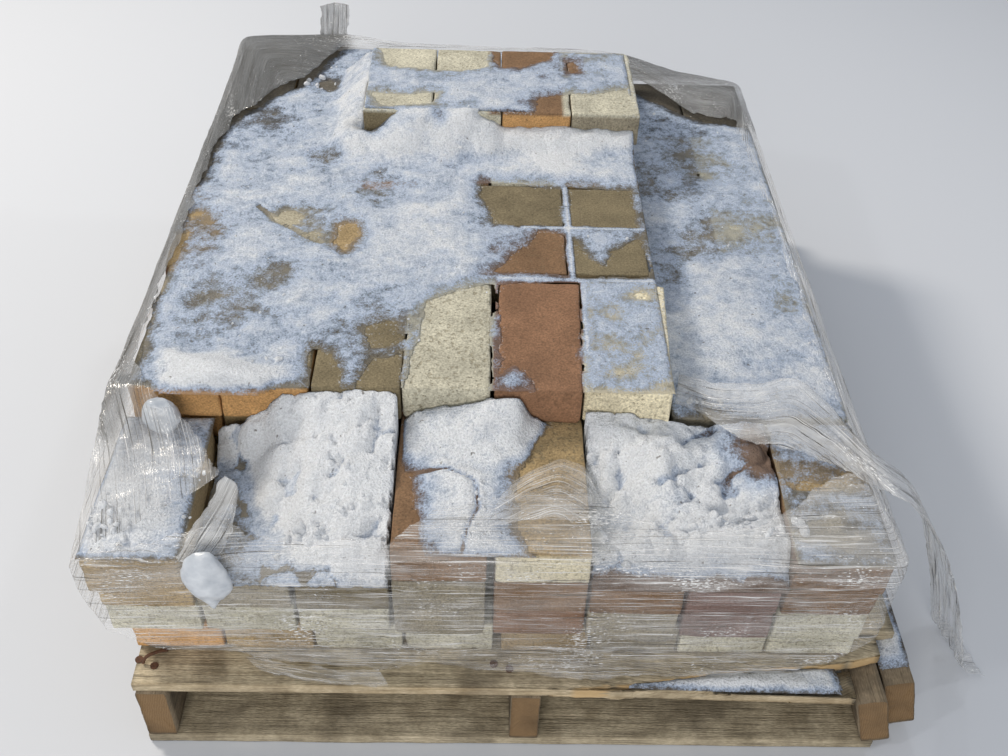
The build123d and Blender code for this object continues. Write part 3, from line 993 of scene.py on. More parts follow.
# Lumps of ice caught in the film at the front left: centre, half width, depth and height, and taper downwards
lumpsOfIce = (
    ("ice_in_film", (-283, -541, 306), (23, 11, 43), 0.75),
    ("ice_at_corner", (-362, -352, 352), (20, 15, 25), 0.3),
)


def iceLumps(material):
    for name, centre, half, taper in lumpsOfIce:
        work = bmesh.new()
        bmesh.ops.create_icosphere(work, subdivisions=4, radius=1)
        points = np.array([vert.co for vert in work.verts])
        faces = [[vert.index for vert in face.verts] for face in work.faces]
        work.free()
        narrow = 1 - taper * smoothStep(-points[:, 2], 0.0, 1.1)
        points = points * (1 + 0.26 * roughNoise(points + centre[0], (0.9, 0.9, 0.6), 51)[:, None])
        points[:, :2] *= narrow[:, None]
        makePiece(name, (points * half + centre) * mm, faces, material)


def palletSnow(material):
    # drifts on the dropped strip of the lead board and on the outer stringer
    wood = toLinear("#6e6350")

    def drift(name, xRange, yRange, woodTop, depth):
        heightPiece(name, xRange, yRange, pockets["step"], lambda x, y: woodTop(x, y) + depth(x, y),
                    lambda x, y: woodTop(x, y) - snowLook["sunk"], lambda x, y, thick: 0.2 * thick,
                    lambda x, y: np.tile(wood, (len(x), 1)), material)

    low, high = boxOf("lead_deck_board")
    front, root = low[1], low[0] + leadBoard["torn"][0][0] - leadBoard["root"]
    slope = math.tan(math.radians(leadBoard["droop"]))

    def stripTop(x, y):
        return leadBoard["bottom"] + leadBoard["thickness"] - (x - root) * slope

    def stripDepth(x, y):
        spots = flatSpots(x, y)
        inside = np.minimum(y - front - 5, front + tornDepth(x - low[0]) + 4 - y)
        depth = 7 + 6 * roughNoise(spots, 44, 81) + 1.5 * roughNoise(spots, 10, 83)
        return depth * smoothStep(inside, -1, 9) * smoothStep(x, 150, 215) * smoothStep(-x, -404, -385)

    drift("snow_on_strip", (140, 410), (front, front + 58), stripTop, stripDepth)
    outerLow, outerHigh = boxOf("right_outer_stringer")
    corners = outlineOf("right_outer_stringer")
    corners = corners[corners[:, 1] > outerHigh[2] - 12]
    corners = corners[np.argsort(corners[:, 0])]
    left, right = corners[0, 0], corners[-1, 0]

    def outerTop(x, y):
        return np.interp(x, corners[:, 0], corners[:, 1])

    def outerDepth(x, y):
        spots = flatSpots(x, y)
        depth = 6 + 6 * roughNoise(spots, 60, 85) + 1.5 * roughNoise(spots, 10, 87)
        side = np.minimum(x - left, right - x)
        return depth * smoothStep(side, 0, 9) * smoothStep(y - outerLow[1], 18, 50) * smoothStep(-y, 250, 330)

    drift("snow_on_stringer", (left, right), (outerLow[1], -240), outerTop, outerDepth)


def smoothIce():
    # clear ice full of fine bubbles: bluish white, smooth and wet
    material, add = newMaterial("smoothIce")
    place = add("ShaderNodeTexCoord").outputs["Object"]
    clouds = add(noiseNode, {"Vector": place, "Scale": 1 / 0.016, "Detail": 4.0})  # bubbles, 16 mm
    colour = add(mixNode, {0: clouds, 6: "#7f8a98", 7: "#dfe4ea"}, data_type="RGBA")
    bump = add(bumpNode, {"Strength": 0.6, "Distance": 0.004, "Height": clouds})
    return finishMaterial(material, {"Base Color": colour, "Roughness": 0.28, "Normal": bump})


def crustySnow():
    # old snow, thawed and frozen again: a matt granular crust, white where it is thick, blue-grey where it is
    # thin, and so thin in places that the brick under it shows through, with painted shade in its pits
    material, add = newMaterial("crustySnow")
    place = add("ShaderNodeTexCoord").outputs["Object"]
    cover, under = (add("ShaderNodeAttribute", attribute_name=name).outputs[output]
                    for name, output in (("cover", "Fac"), ("under", "Color")))
    clouds, patchy, grain, specks = (
        add(noiseNode, {"Vector": place, "Scale": 1 / cell, "Detail": detail, "Roughness": uneven})
        for cell, detail, uneven in (
            (0.042, 5.0, 0.62),  # thawed areas, 42 mm
            (0.009, 4.0, 0.62),  # thawed pits, 9 mm
            (0.0024, 3.0, 0.7),  # ice grains, 2.4 mm
            (0.007, 2.0, 0.5)))  # blown grit, 7 mm
    base = add(mathNode, {0: clouds, 1: 1.25, 2: -1.68}, operation="MULTIPLY_ADD")
    pits = add(mathNode, {0: patchy, 1: 1.0, 2: base}, operation="MULTIPLY_ADD")
    grains = add(mathNode, {0: grain, 1: 1.1, 2: pits}, operation="MULTIPLY_ADD")
    hidden = add(mathNode, {0: cover, 1: grains}, operation="ADD")
    coverMask, thickMask, pitShadeMask, grainLight, wet, damp, speckMask = (
        add(rangeNode, {"Value": of, "From Min": low, "From Max": high, "To Min": a, "To Max": b})
        for of, low, high, a, b in (
            (hidden, 0.05, 0.48, 0.08, 1.0), (hidden, 0.42, 1.25, 0.0, 1.0), (pits, -0.82, -0.52, 0.75, 0.0),
            (grain, 0.3, 0.7, 0.78, 1.14), (patchy, 0.35, 0.65, 0.45, 0.95), (cover, 0.0, 0.45, 1.0, 0.0),
            (specks, 0.70, 0.76, 0.0, 0.7)))
    snowy = snowLook["thin"]
    # the pits get a darker blue: painted shade
    for mask, colour in ((pitShadeMask, snowLook["hollow"]), (thickMask, snowLook["white"])):
        snowy = add(mixNode, {0: mask, 6: snowy, 7: colour}, data_type="RGBA")
    grained = add(vectorNode, {0: snowy, "Scale": grainLight}, operation="SCALE")
    dampness = add(mathNode, {0: wet, 1: damp}, operation="MAXIMUM")
    painted = add(vectorNode, {0: under, "Scale": dampness}, operation="SCALE")
    for mask, colour in ((coverMask, grained), (speckMask, "#4c4438")):
        painted = add(mixNode, {0: mask, 6: painted, 7: colour}, data_type="RGBA")
    bump = add(bumpNode, {"Strength": 1.0, "Distance": 0.0038, "Height": grains})
    return finishMaterial(material, {
        "Base Color": painted, "Roughness": 0.6, "Specular IOR Level": 0.35, "Normal": bump})


# Wood: every timber is swept along its length, with grain, cracks, worn corners and splintered ends

woodLook = dict(
    along=14.0,  # mm between stations along the grain
    across=2.8,  # mm between points round the section
    acrossHidden=4.5,  # the same, on boards that hardly show
    grainDepth=0.45,  # mm, as all that follow
    crackDepth=3.2,
    crackWidth=1.5,
    cornerWear=1.5,
    endRough=1.6,
)


def sideCounts(corners, step):
    corners = np.asarray(corners, float)
    return [max(2, round(math.dist(a, b) / step)) for a, b in zip(corners, np.roll(corners, -1, axis=0))]


def sectionPoints(corners, counts):
    # a closed outline of straight sides cut into even steps: points, normals, distance round, and to a corner
    corners = np.asarray(corners, float)
    found, nearCorner = [], []
    for a, b, count in zip(corners, np.roll(corners, -1, axis=0), counts):
        for at in range(count):
            share = at / count
            found.append(a + (b - a) * share)
            nearCorner.append(min(share, 1 - share) * math.dist(a, b))
    found = np.array(found)
    run = np.roll(found, -1, axis=0) - np.roll(found, 1, axis=0)
    normal = np.stack([run[:, 1], -run[:, 0]], axis=1)
    normal /= np.linalg.norm(normal, axis=1)[:, None]
    around = np.concatenate([[0], np.cumsum(np.linalg.norm(np.diff(found, axis=0), axis=1))])
    return found, normal, around, np.array(nearCorner)


def sweepTimber(sectionAt, stations, seed, step, cracks=3, rough=1.0, endRough=None):
    # points of one timber as (along, across, up) in mm, with faces, UV and an end-grain value
    look = woodLook
    draws = np.random.default_rng(seed)
    counts = sideCounts(sectionAt(stations[0]), step)
    total = sectionPoints(sectionAt(stations[0]), counts)[2][-1] + step
    lines = [(draws.uniform(0, total), draws.uniform(0, 0.6), draws.uniform(0.25, 0.9), draws.uniform(0.4, 1))
             for _ in range(cracks)]
    rings, uvs = [], []
    for station in stations:
        section, normal, around, nearCorner = sectionPoints(sectionAt(station), counts)
        spots = np.stack([np.full(len(section), station), section[:, 0], section[:, 1]], axis=1)
        inwards = look["grainDepth"] * rough * (1 + roughNoise(spots, (95, 3.4, 3.4), seed, 2))
        inwards += 0.7 * rough * (1 + roughNoise(spots, (160, 26, 26), seed + 4, 2))
        chewed = 0.45 + 0.8 * latticeNoise(spots, (24, 9, 9), seed + 8)
        inwards += look["cornerWear"] * rough * chewed * np.exp(-(nearCorner / 2.2) ** 2)
        part = (station - stations[0]) / (stations[-1] - stations[0])
        for place, start, length, depth in lines:
            if start < part < start + length:
                fade = math.sin((part - start) / length * math.pi) ** 0.5
                drift = place + 7 * (latticeNoise([[station, place, 0]], (130, 50, 1), seed + 12)[0] - 0.5)
                gap = np.abs((around - drift + total / 2) % total - total / 2)
                inwards += depth * fade * look["crackDepth"] * np.exp(-(gap / look["crackWidth"]) ** 2)
        moved = section - normal * inwards[:, None]
        rings.append(np.concatenate([spots[:, :1], moved], axis=1))
        uvs.append(np.stack([spots[:, 0], around], axis=1))
    ends = [np.zeros(len(rings[0]))] * len(rings)
    # each end is closed by smaller rings, with fibres standing out unevenly
    endRough = look["endRough"] if endRough is None else endRough
    for outer, sign in ((rings[0], 1), (rings[-1], -1)):
        centre = outer.mean(axis=0)
        caps = []
        for share in (0.93, 0.62, 0.3):
            ring = centre + (outer - centre) * share
            ring[:, 0] = outer[:, 0]
            ring[:, 0] += sign * endRough * latticeNoise(ring + [seed, 0, 0], (40, 4.5, 3.2), seed + 20)
            caps.append(ring)
        capUvs = [ring[:, 1:] for ring in caps]
        capEnds = [np.ones(len(outer))] * len(caps)
        if sign > 0:
            frontRings, frontUvs, frontEnds = caps[::-1], capUvs[::-1], capEnds
        else:
            rings = frontRings + rings + caps
            uvs = frontUvs + uvs + capUvs
            ends = frontEnds + ends + capEnds
    count = len(rings[0])
    faces = []
    for ring in range(len(rings) - 1):
        for at in range(count):
            after = (at + 1) % count
            faces.append((ring * count + at, ring * count + after, (ring + 1) * count + after,
                          (ring + 1) * count + at))
    faces.append(tuple(range(count - 1, -1, -1)))
    faces.append(tuple(range((len(rings) - 1) * count, len(rings) * count)))
    return np.concatenate(rings), faces, np.concatenate(uvs), np.concatenate(ends)


def stationsBetween(first, last, step):
    return np.linspace(first, last, max(3, round((last - first) / step) + 1))


def finishTimber(name, node, parts, axis, material, fresh=None):
    # joins swept parts into one piece; axis is the world axis that the grain follows
    places, faces = [], []
    for points, partFaces, _, _ in parts:
        start = sum(len(some) for some in places)
        if axis == "Y":
            points = points[:, [1, 0, 2]]
            partFaces = [face[::-1] for face in partFaces]
        places.append(points)
        faces += [[start + corner for corner in face] for face in partFaces]
    points = np.concatenate(places)
    uv, ends = (np.concatenate([part[at] for part in parts]) for at in (2, 3))
    values = {"endGrain": ends, "fresh": np.zeros(len(points)) if fresh is None else fresh(points)}
    makePiece(name, points * mm, faces, material, values, uv * mm, node, turnOut=True)


def boxOf(node):
    return [np.array(corner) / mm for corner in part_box(node)]


def outlineOf(node):
    # the corners of a stringer's front end, in order, from its solid
    points = np.array([vert.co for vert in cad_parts[node].data.vertices]) / mm
    flat = points[points[:, 1] < points[:, 1].min() + 0.5][:, [0, 2]]
    flat = np.unique(flat.round(2), axis=0)
    centre = (flat.min(axis=0) + flat.max(axis=0)) / 2
    angle = np.arctan2(flat[:, 1] - centre[1], flat[:, 0] - centre[0])
    return flat[np.argsort(angle)]


def makeBoards(material):
    boards = [f"deck_board_{place}" for place in range(2, 9)]
    boards += [f"bottom_board_{place}" for place in ("front", "middle", "rear")]
    for seed, node in enumerate(boards, 70):
        low, high = boxOf(node)
        corners = [(low[1], low[2]), (high[1], low[2]), (high[1], high[2]), (low[1], high[2])]
        step = woodLook["across" if node in ("deck_board_2", "bottom_board_front") else "acrossHidden"]
        stations = stationsBetween(low[0], high[0], woodLook["along"])
        swept = sweepTimber(lambda station: corners, stations, seed, step, cracks=4, rough=0.8)
        finishTimber(f"timber_{node}", node, [swept], "X", material)


def makeStringers(material):
    for seed, place in enumerate(("left", "middle", "right", "right_outer"), 120):
        node = f"{place}_stringer"
        low, high = boxOf(node)
        corners = outlineOf(node)
        stations = stationsBetween(low[1], high[1], woodLook["along"])
        swept = sweepTimber(lambda station: corners, stations, seed, 3.2, cracks=6, rough=1.2, endRough=2.4)
        finishTimber(f"timber_{node}", node, [swept], "Y", material)


# The split in the lead board, as in the frame: along and in from the board's front left corner, in mm
leadBoard = dict(
    torn=((484, 0), (568, 7), (667, 24), (802, 36), (852, 48)),
    length=852,
    depth=76,
    bottom=106.0,
    thickness=17.0,
    gap=2.5,  # between the board and its strip
    root=20,  # how far before the split the strip starts
    droop=1.8,  # degrees
    stripEnd=419.0,
    stripWidth=36,
    station=8,  # between stations along the grain
)


def tornDepth(along):
    return np.interp(along, *zip(*leadBoard["torn"]))


def makeLeadBoard(material):
    board = leadBoard
    left, front = boxOf("lead_deck_board")[0][:2]
    back = front + board["depth"]
    bottom, top = board["bottom"], board["bottom"] + board["thickness"]
    ragged = np.random.default_rng(4).uniform(-1, 1, 400)

    def mainSection(station):
        edge = front + tornDepth(station - left)
        if edge > front:
            edge += 1.6 * ragged[int(station - left) // 5 % 400]
        return [(edge, bottom), (back, bottom), (back, top), (edge, top)]

    main = sweepTimber(mainSection, stationsBetween(left, left + board["length"], board["station"]), 91, 2.6,
                       cracks=5)
    root = left + board["torn"][0][0] - board["root"]
    slope = math.tan(math.radians(board["droop"]))

    def stripSection(station):
        drop = (station - root) * slope
        inner = front + max(board["gap"], tornDepth(station - left) - board["gap"])
        inner = min(inner, front + board["stripWidth"]) + 1.3 * ragged[int(station - left) // 6 % 400]
        return [(front, bottom - drop), (inner, bottom - drop), (inner, top - drop), (front, top - drop)]

    strip = sweepTimber(stripSection, stationsBetween(root, board["stripEnd"], board["station"]), 95, 2.6,
                        cracks=2, endRough=7.0)

    def fresh(points):
        tornFace = np.abs(points[:, 1] - front - tornDepth(points[:, 0] - left)) < 2.4
        torn = np.where(tornFace & (points[:, 0] > root + 30), 0.8, 0.0)
        patchy = 0.5 + 0.5 * roughNoise(points, (60, 8, 8), 97)
        return np.maximum(torn, 0.5 * smoothStep(points[:, 1], front + 5, front) * patchy)

    finishTimber("timber_lead_deck_board", "lead_deck_board", [main, strip], "X", material,
                 fresh)


# Nails: where the heads are on each timber (mm), and the bent one on the lead board
nails = dict(
    deckX=(-395, -372, 4, 27, 386, 408),
    endX=438,  # only in the board that sticks out
    headRadius=4.6,
    headHeight=1.6,
    shankRadius=2.0,
    bent=[(-388, -516, 124), (-386, -514, 130), (-381, -511, 133), (-372, -504, 130), (-364, -498, 124)],
)


def rustySteel():
    # wire nails left out in the weather: dark brown rust
    material, add = newMaterial("rustySteel")
    place = add("ShaderNodeTexCoord").outputs["Object"]
    rust = add(noiseNode, {"Vector": place, "Scale": 1 / 0.003, "Detail": 3.0})  # blisters of 3 mm
    colour = add(mixNode, {0: rust, 6: "#2b211b", 7: "#6b4630"}, data_type="RGBA")
    return finishMaterial(material, {"Base Color": colour, "Roughness": 0.8})


def buildNailTree():
    # Geometry Nodes: one nail head on every place
    tree, add, given = newTree("nailHeads", {
        "Places": "Geometry", "Head Radius": "Float", "Head Height": "Float", "Finish": "Material"})
    head = add("GeometryNodeMeshCylinder", {
        "Vertices": 12, "Radius": given["Head Radius"], "Depth": given["Head Height"]})
    laid = add("GeometryNodeInstanceOnPoints", {"Points": given["Places"], "Instance": head})
    real = add("GeometryNodeRealizeInstances", {"Geometry": laid})
    finished = add("GeometryNodeSetMaterial", {"Geometry": real, "Material": given["Finish"]})
    add("NodeGroupOutput", {0: finished})
    return tree


def makeNails(material):
    draws = np.random.default_rng(23)
    places = []
    for node in ["lead_deck_board"] + [f"deck_board_{place}" for place in range(2, 9)]:
        low, high = boxOf(node)
        for x in (*nails["deckX"], nails["endX"]):
            if node != "lead_deck_board":
                y = low[1] + (high[1] - low[1]) * (0.25 + 0.5 * draws.uniform(0, 1))
            elif x == nails["endX"]:
                continue
            else:
                y = low[1] + (30 if x < 100 else 56) + draws.uniform(-7, 7)
            if x < high[0] - 6:
                places.append(((x + draws.uniform(-4, 4)) * mm, y * mm, (high[2] - 0.3) * mm))
    growPiece("nail_heads", places, {}, buildNailTree(), {
        "Head Radius": nails["headRadius"] * mm, "Head Height": nails["headHeight"] * mm, "Finish": material})
    line = blurAlong(alongRail(np.array(nails["bent"], float), np.linspace(0, 3.999, 22)), 2, closed=False)
    run = np.gradient(line, axis=0)
    run /= np.linalg.norm(run, axis=1)[:, None]
    across = np.cross(run, (0.3, -0.8, 0.5))
    across /= np.linalg.norm(across, axis=1)[:, None]
    other = np.cross(run, across)
    sides = 10
    rings = [line + nails["shankRadius"] * (math.cos(angle) * across + math.sin(angle) * other)
             for angle in np.linspace(0, 2 * math.pi, sides, endpoint=False)]
    points = np.stack(rings, axis=1).reshape(-1, 3) * mm
    faces = [[at + side, at + (side + 1) % sides, at + sides + (side + 1) % sides, at + sides + side]
             for at in range(0, len(points) - sides, sides) for side in range(sides)]
    faces += [list(range(sides - 1, -1, -1)), list(range(len(points) - sides, len(points)))]
    makePiece("bent_nail", points, faces, material)


woodTones = dict(  # silver grey, its damp places, and the end grain
    deck=("#c3b79e", "#958a74", "#9c835f"),
    stringer=("#93846e", "#665c4e", "#80694c"),
)


def weatheredWood(name, light, dark, endColour, ringAxis):
    # rough sawn pine left out for years: silver grey and furred, dark in its grain lines and damp places,
    # paler where it is torn, with growth rings at its ends
    material, add = newMaterial(name)
    coordinates = add("ShaderNodeTexCoord").outputs
    place, uv = coordinates["Object"], coordinates["UV"]
    endGrain, fresh = (add("ShaderNodeAttribute", attribute_name=label).outputs["Fac"]
                       for label in ("endGrain", "fresh"))
    grainAt, furAt = (
        add("ShaderNodeMapping", {"Vector": uv, "Scale": (1 / long, 1 / wide, 1)})
        for long, wide in (
            (0.07, 0.0017),  # grain lines of 1.7 mm
            (0.006, 0.0014)))  # raised fibres, 6 mm long
    grain, fur, weather, stains = (
        add(noiseNode, {"Vector": at, "Scale": scale, "Detail": detail, "Roughness": uneven})
        for at, scale, detail, uneven in (
            (grainAt, 1.0, 4.0, 0.5), (furAt, 1.0, 2.0, 0.5),
            (place, 1 / 0.034, 6.0, 0.6),  # weathered places, 34 mm
            (place, 1 / 0.08, 4.0, 0.5)))  # damp stains, 80 mm
    weatherMask, furLight, lineMask, stainMask = (
        add(rangeNode, {"Value": of, "From Min": low, "From Max": high, "To Min": a, "To Max": b})
        for of, low, high, a, b in (
            (weather, 0.36, 0.64, 0.0, 1.0), (fur, 0.3, 0.7, 0.72, 1.22), (grain, 0.30, 0.52, 0.75, 0.0),
            (stains, 0.54, 0.7, 0.0, 0.55)))
    base = add(mixNode, {0: weatherMask, 6: light, 7: dark}, data_type="RGBA")
    side = add(vectorNode, {0: base, "Scale": furLight}, operation="SCALE")
    rings = add("ShaderNodeTexWave", {
        "Vector": place, "Scale": 1 / 0.0085, "Distortion": 5.0, "Detail": 3.0, "Detail Scale": 1.2},
        wave_type="RINGS", rings_direction=ringAxis).outputs["Fac"]  # growth rings about 3 mm apart
    ringMask = add(mathNode, {0: rings, 1: 0.6}, operation="MULTIPLY")
    end = endColour
    for mask, colour in ((ringMask, "#6a5136"), (stainMask, "#4a3c2c")):
        end = add(mixNode, {0: mask, 6: end, 7: colour}, data_type="RGBA")
    for mask, colour in ((lineMask, "#4d4537"), (stainMask, "#50483b"), (fresh, "#bfa275"), (endGrain, end)):
        side = add(mixNode, {0: mask, 6: side, 7: colour}, data_type="RGBA")
    height = add(mathNode, {0: grain, 1: fur}, operation="ADD")
    bump = add(bumpNode, {"Strength": 0.6, "Distance": 0.0012, "Height": height})
    return finishMaterial(material, {
        "Base Color": side, "Roughness": 0.85, "Specular IOR Level": 0.3, "Normal": bump})


# Stretch film: one wall all round with its torn top laid over the bricks, and the loose pieces
# The stations of the wrap go round from the front left corner by the right. Each has, in mm, the wall's x and
# y, the height of its bottom edge and of its top, then x, y and height of the torn inner edge

wrapStations = (
    (-421, -534, 212, 318, -405, -518, 324), (-352, -532, 180, 327, -350, -512, 331),
    (-300, -530, 172, 336, -296, -508, 345), (-270, -528, 168, 334, -268, -500, 344),
    (-235, -528, 155, 326, -235, -502, 336), (-180, -528, 143, 322, -180, -508, 327),
    (-112, -528, 138, 326, -110, -510, 330), (-60, -529, 150, 328, -60, -462, 331),
    (0, -528, 139, 328, 0, -446, 331), (50, -528, 134, 328, 52, -430, 333),
    (104, -528, 129, 328, 104, -432, 332), (150, -527, 127, 320, 150, -468, 326),
    (210, -527, 130, 317, 208, -486, 326), (270, -526, 133, 320, 268, -488, 329),
    (318, -526, 137, 327, 322, -450, 331), (380, -525, 160, 328, 368, -410, 332),
    (424, -524, 206, 327, 402, -404, 332), (424, -440, 176, 327, 406, -396, 332),
    (423, -300, 136, 327, 402, -300, 331), (423, -100, 132, 327, 398, -100, 331),
    (422, 100, 132, 326, 400, 100, 330), (422, 300, 133, 326, 394, 300, 331),
    (422, 430, 134, 326, 390, 368, 333), (422, 518, 136, 326, 372, 374, 334),
    (307, 518, 134, 344, 320, 391, 334), (213, 518, 134, 373, 246, 462, 352),
    (150, 518, 134, 377, 150, 502, 379), (0, 518, 134, 377, 0, 500, 380),
    (-150, 518, 134, 380, -150, 500, 382), (-234, 518, 134, 393, -252, 498, 386),
    (-360, 519, 134, 391, -292, 395, 384), (-420, 518, 134, 389, -318, 360, 383),
    (-421, 442, 134, 376, -351, 316, 382), (-421, 316, 133, 372, -385, 262, 380),
    (-421, 183, 133, 371, -402, 160, 377), (-421, 15, 133, 371, -405, 15, 376),
    (-421, -161, 133, 371, -406, -161, 376), (-421, -293, 135, 374, -404, -293, 379),
    (-423, -332, 142, 379, -381, -330, 378), (-423, -400, 160, 352, -312, -392, 355),
    (-422, -475, 186, 330, -284, -440, 352),
)

filmLook = dict(
    thickness=0.25,  # mm, more than the real film has
    frontStep=4.5,  # mm between points round the stack at the front, then elsewhere
    otherStep=9.0,
    wrinkle=2.8,  # mm, how far the creases stand out
    creaseLength=210.0,  # mm
    creaseWidth=9.0,
    wallRows=34,  # points up the wall, and on over the fold
    foldRows=17,
    fanCorner=(-408, -316),  # the corner of the top block that creases fan out from
)
# Places where the film differs: how much, and the spans in mm over which that sets in along x, y and z
filmPlaces = dict(
    tucked=(16, (-330, -415), (-380, -470), (285, 195)),  # drawn in under the bricks that overhang, in mm
    fanned=(1, (-205, -300), (-318, -345), (250, 315)),
    corner=(1, (-385, -418), (-470, -520), None),
    hood=(1, (-225, -262), (40, 90), (350, 368)),  # doubled and dirty
    # the upper left edge of the film is painted grey as shade
    leftRail=(0.85, (-385, -405), None, (345, 362)),
    backRight=(0.8, (195, 215), (330, 375), (318, 330)),
    snowed=(0.22, (120, 240), (-330, -380), (318, 329)),
)


def shareAt(points, label):
    share, *spans = filmPlaces[label]
    for axis, span in enumerate(spans):
        if span:
            share = share * smoothStep(points[..., axis], *span)
    return share


def ridged(points, cell, seed, octaves=2):
    return (1 - np.abs(roughNoise(points, cell, seed, octaves))) ** 3


def evenPlaces(rail, stepAt):
    # parameters along a closed rail, whose spacing in mm depends on y
    places, position = [], 0.0
    count = len(rail)
    while position < count:
        places.append(position)
        low = int(position)
        a, b = rail[low % count], rail[(low + 1) % count]
        length = math.dist(a, b)
        here = a + (b - a) * (position - low)
        position += stepAt(here[1]) / length
    return np.array(places)


def alongRail(rail, places):
    low = places.astype(int)
    share = (places - low)[:, None]
    count = len(rail)
    return rail[low % count] * (1 - share) + rail[(low + 1) % count] * share


def blurAlong(values, reach, closed=True):
    # evens out a row of points over its neighbours
    total = np.zeros_like(values)
    weight = 0.0
    for shift in range(-reach, reach + 1):
        share = reach + 1 - abs(shift)
        if closed:
            total += share * np.roll(values, shift, axis=0)
        else:
            moved = np.clip(np.arange(len(values)) + shift, 0, len(values) - 1)
            total += share * values[moved]
        weight += share
    return total / weight


def gridNormals(grid, closed):
    if closed:
        du = np.roll(grid, -1, axis=1) - np.roll(grid, 1, axis=1)
    else:
        du = np.gradient(grid, axis=1)
    dv = np.gradient(grid, axis=0)
    normal = np.cross(du, dv)
    return normal / np.maximum(np.linalg.norm(normal, axis=2), 1e-9)[..., None]


def finishFilm(name, grid, uv, crease, milk, grey, material, closed, flat, held, rests, area=None):
    # a grid of film points in mm becomes a closed thin shell
    normal = gridNormals(grid, closed)
    rows, columns = grid.shape[:2]
    inner = grid - normal * filmLook["thickness"]
    points = np.concatenate([grid.reshape(-1, 3), inner.reshape(-1, 3)]) * mm
    index = np.arange(rows * columns).reshape(rows, columns)
    right = np.roll(index, -1, axis=1) if closed else index[:, 1:]
    left = index if closed else index[:, :-1]
    quads = np.stack([left[:-1], right[:-1], right[1:], left[1:]], axis=-1).reshape(-1, 4)
    count = rows * columns
    faces = [*quads.tolist(), *(quads[:, ::-1] + count).tolist()]
    borders = [(left[0], right[0]), (right[-1], left[-1])]
    if not closed:
        borders += [(index[1:, 0], index[:-1, 0]), (index[:-1, -1], index[1:, -1])]
    for a, b in borders:
        faces += np.stack([b, a, a + count, b + count], axis=-1).tolist()
    values = {label: np.tile(np.broadcast_to(data, (rows, columns)).ravel(), 2)
              for label, data in (("crease", crease), ("milk", milk), ("grey", grey))}
    piece = makePiece(name, points, faces, material, values=values,
                      uv=np.tile(uv.reshape(-1, 2), (2, 1)) * mm)
    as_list(rests)
    return piece


def wrapFilm(material):
    look = filmLook
    stations = np.array(wrapStations, float)
    places = evenPlaces(stations[:, :2], lambda y: look["frontStep" if y < -320 else "otherStep"])
    track = blurAlong(alongRail(stations, places), 2)
    plan, low, high, inner = track[:, :2], track[:, 2], track[:, 3], track[:, 4:7]
    run = np.concatenate([[0], np.cumsum(np.linalg.norm(np.diff(plan, axis=0), axis=1))])
    edgeSpots = flatSpots(run, run * 0)
    low = low + 7 * roughNoise(edgeSpots, 46, 201) + 3 * roughNoise(edgeSpots, 11, 202)
    tear = 9 * roughNoise(edgeSpots, 38, 203) + 5 * roughNoise(edgeSpots, 9, 204)
    wallTop = np.stack([plan[:, 0], plan[:, 1], high], axis=1)
    away = inner - wallTop
    reach = np.linalg.norm(away, axis=1)
    away = away / reach[:, None]
    inner = inner + away * np.maximum(tear, -0.5 * reach)[:, None]
    rows = []
    for share in np.linspace(0, 1, look["wallRows"]):
        rows.append(np.stack([plan[:, 0], plan[:, 1], low + (high - low) * share], axis=1))
    for share in np.linspace(0, 1, look["foldRows"] + 1)[1:]:
        lift = np.sin(share * math.pi) * np.minimum(reach * 0.05, 7)
        row = wallTop + (inner - wallTop) * share
        row[:, 2] += lift
        rows.append(row)
    grid = np.array(rows)
    grid[..., 0] += shareAt(grid, "tucked")
    for _ in range(2):  # rounds the film over the edge of the bricks
        grid[1:-1] = 0.25 * grid[:-2] + 0.5 * grid[1:-1] + 0.25 * grid[2:]
    height = np.concatenate([np.zeros((1, grid.shape[1])), np.cumsum(
        np.linalg.norm(np.diff(grid, axis=0), axis=2), axis=0)])
    height += low  # so that creases run level whatever the torn edge does
    runGrid = np.broadcast_to(run, height.shape)
    # creases run round the stack, and fan out from the corner of the top block
    slant = 0.03 * np.sin(runGrid / 310.0)
    flat = np.stack([runGrid, height + slant * runGrid, runGrid * 0], axis=2).reshape(-1, 3)
    creases = ridged(flat, (look["creaseLength"], look["creaseWidth"], 1), 211)
    fine = ridged(flat, (60, 5.5, 1), 213)
    shell = grid.reshape(-1, 3)
    awayX, awayY = (shell[:, :2] - look["fanCorner"]).T
    fan = flatSpots(np.hypot(awayX, awayY), np.arctan2(awayY, awayX) * 190)
    fanCreases = ridged(fan, (190, 9, 1), 215)
    inFan = shareAt(shell, "fanned")
    mixed = creases * (1 - inFan) + fanCreases * inFan
    busy = 0.45 + 0.55 * latticeNoise(flat, (170, 60, 1), 217)
    front = smoothStep(-shell[:, 1], 300, 500)
    stand = look["wrinkle"] * busy * (0.55 + 0.75 * front) * (mixed * 0.8 + fine * 0.35)
    stand *= 1 + 0.9 * inFan
    broad = 2.0 * (0.5 + 0.5 * roughNoise(flat, (240, 70, 1), 219))
    push = (stand + broad * (1 - 0.5 * front)) * (1 - 0.7 * shareAt(shell, "corner"))
    push = push.reshape(height.shape)
    grid = grid + gridNormals(grid, True) * push[..., None]
    crease = (np.clip(mixed * 0.7 + fine * 0.5, 0, 1) * (1 - 0.55 * inFan)).reshape(height.shape)
    uv = np.stack([runGrid, height], axis=2)
    # grey: dirt on the hood, painted shade on the upper left edge, and grey film at the back right
    grey = np.max([shareAt(shell, label) for label in ("hood", "leftRail", "backRight")], axis=0)
    grey = grey.reshape(height.shape)
    milk = np.maximum(0.12 * inFan, shareAt(shell, "snowed")).reshape(height.shape)
    piece = finishFilm("film_wrap", grid, uv, crease, milk, grey, material, True, (0.32, 3.9), "stretched",
                       ["bricks_course_4", "bricks_course_5"], area=1.0)
    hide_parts("stretch_wrap")


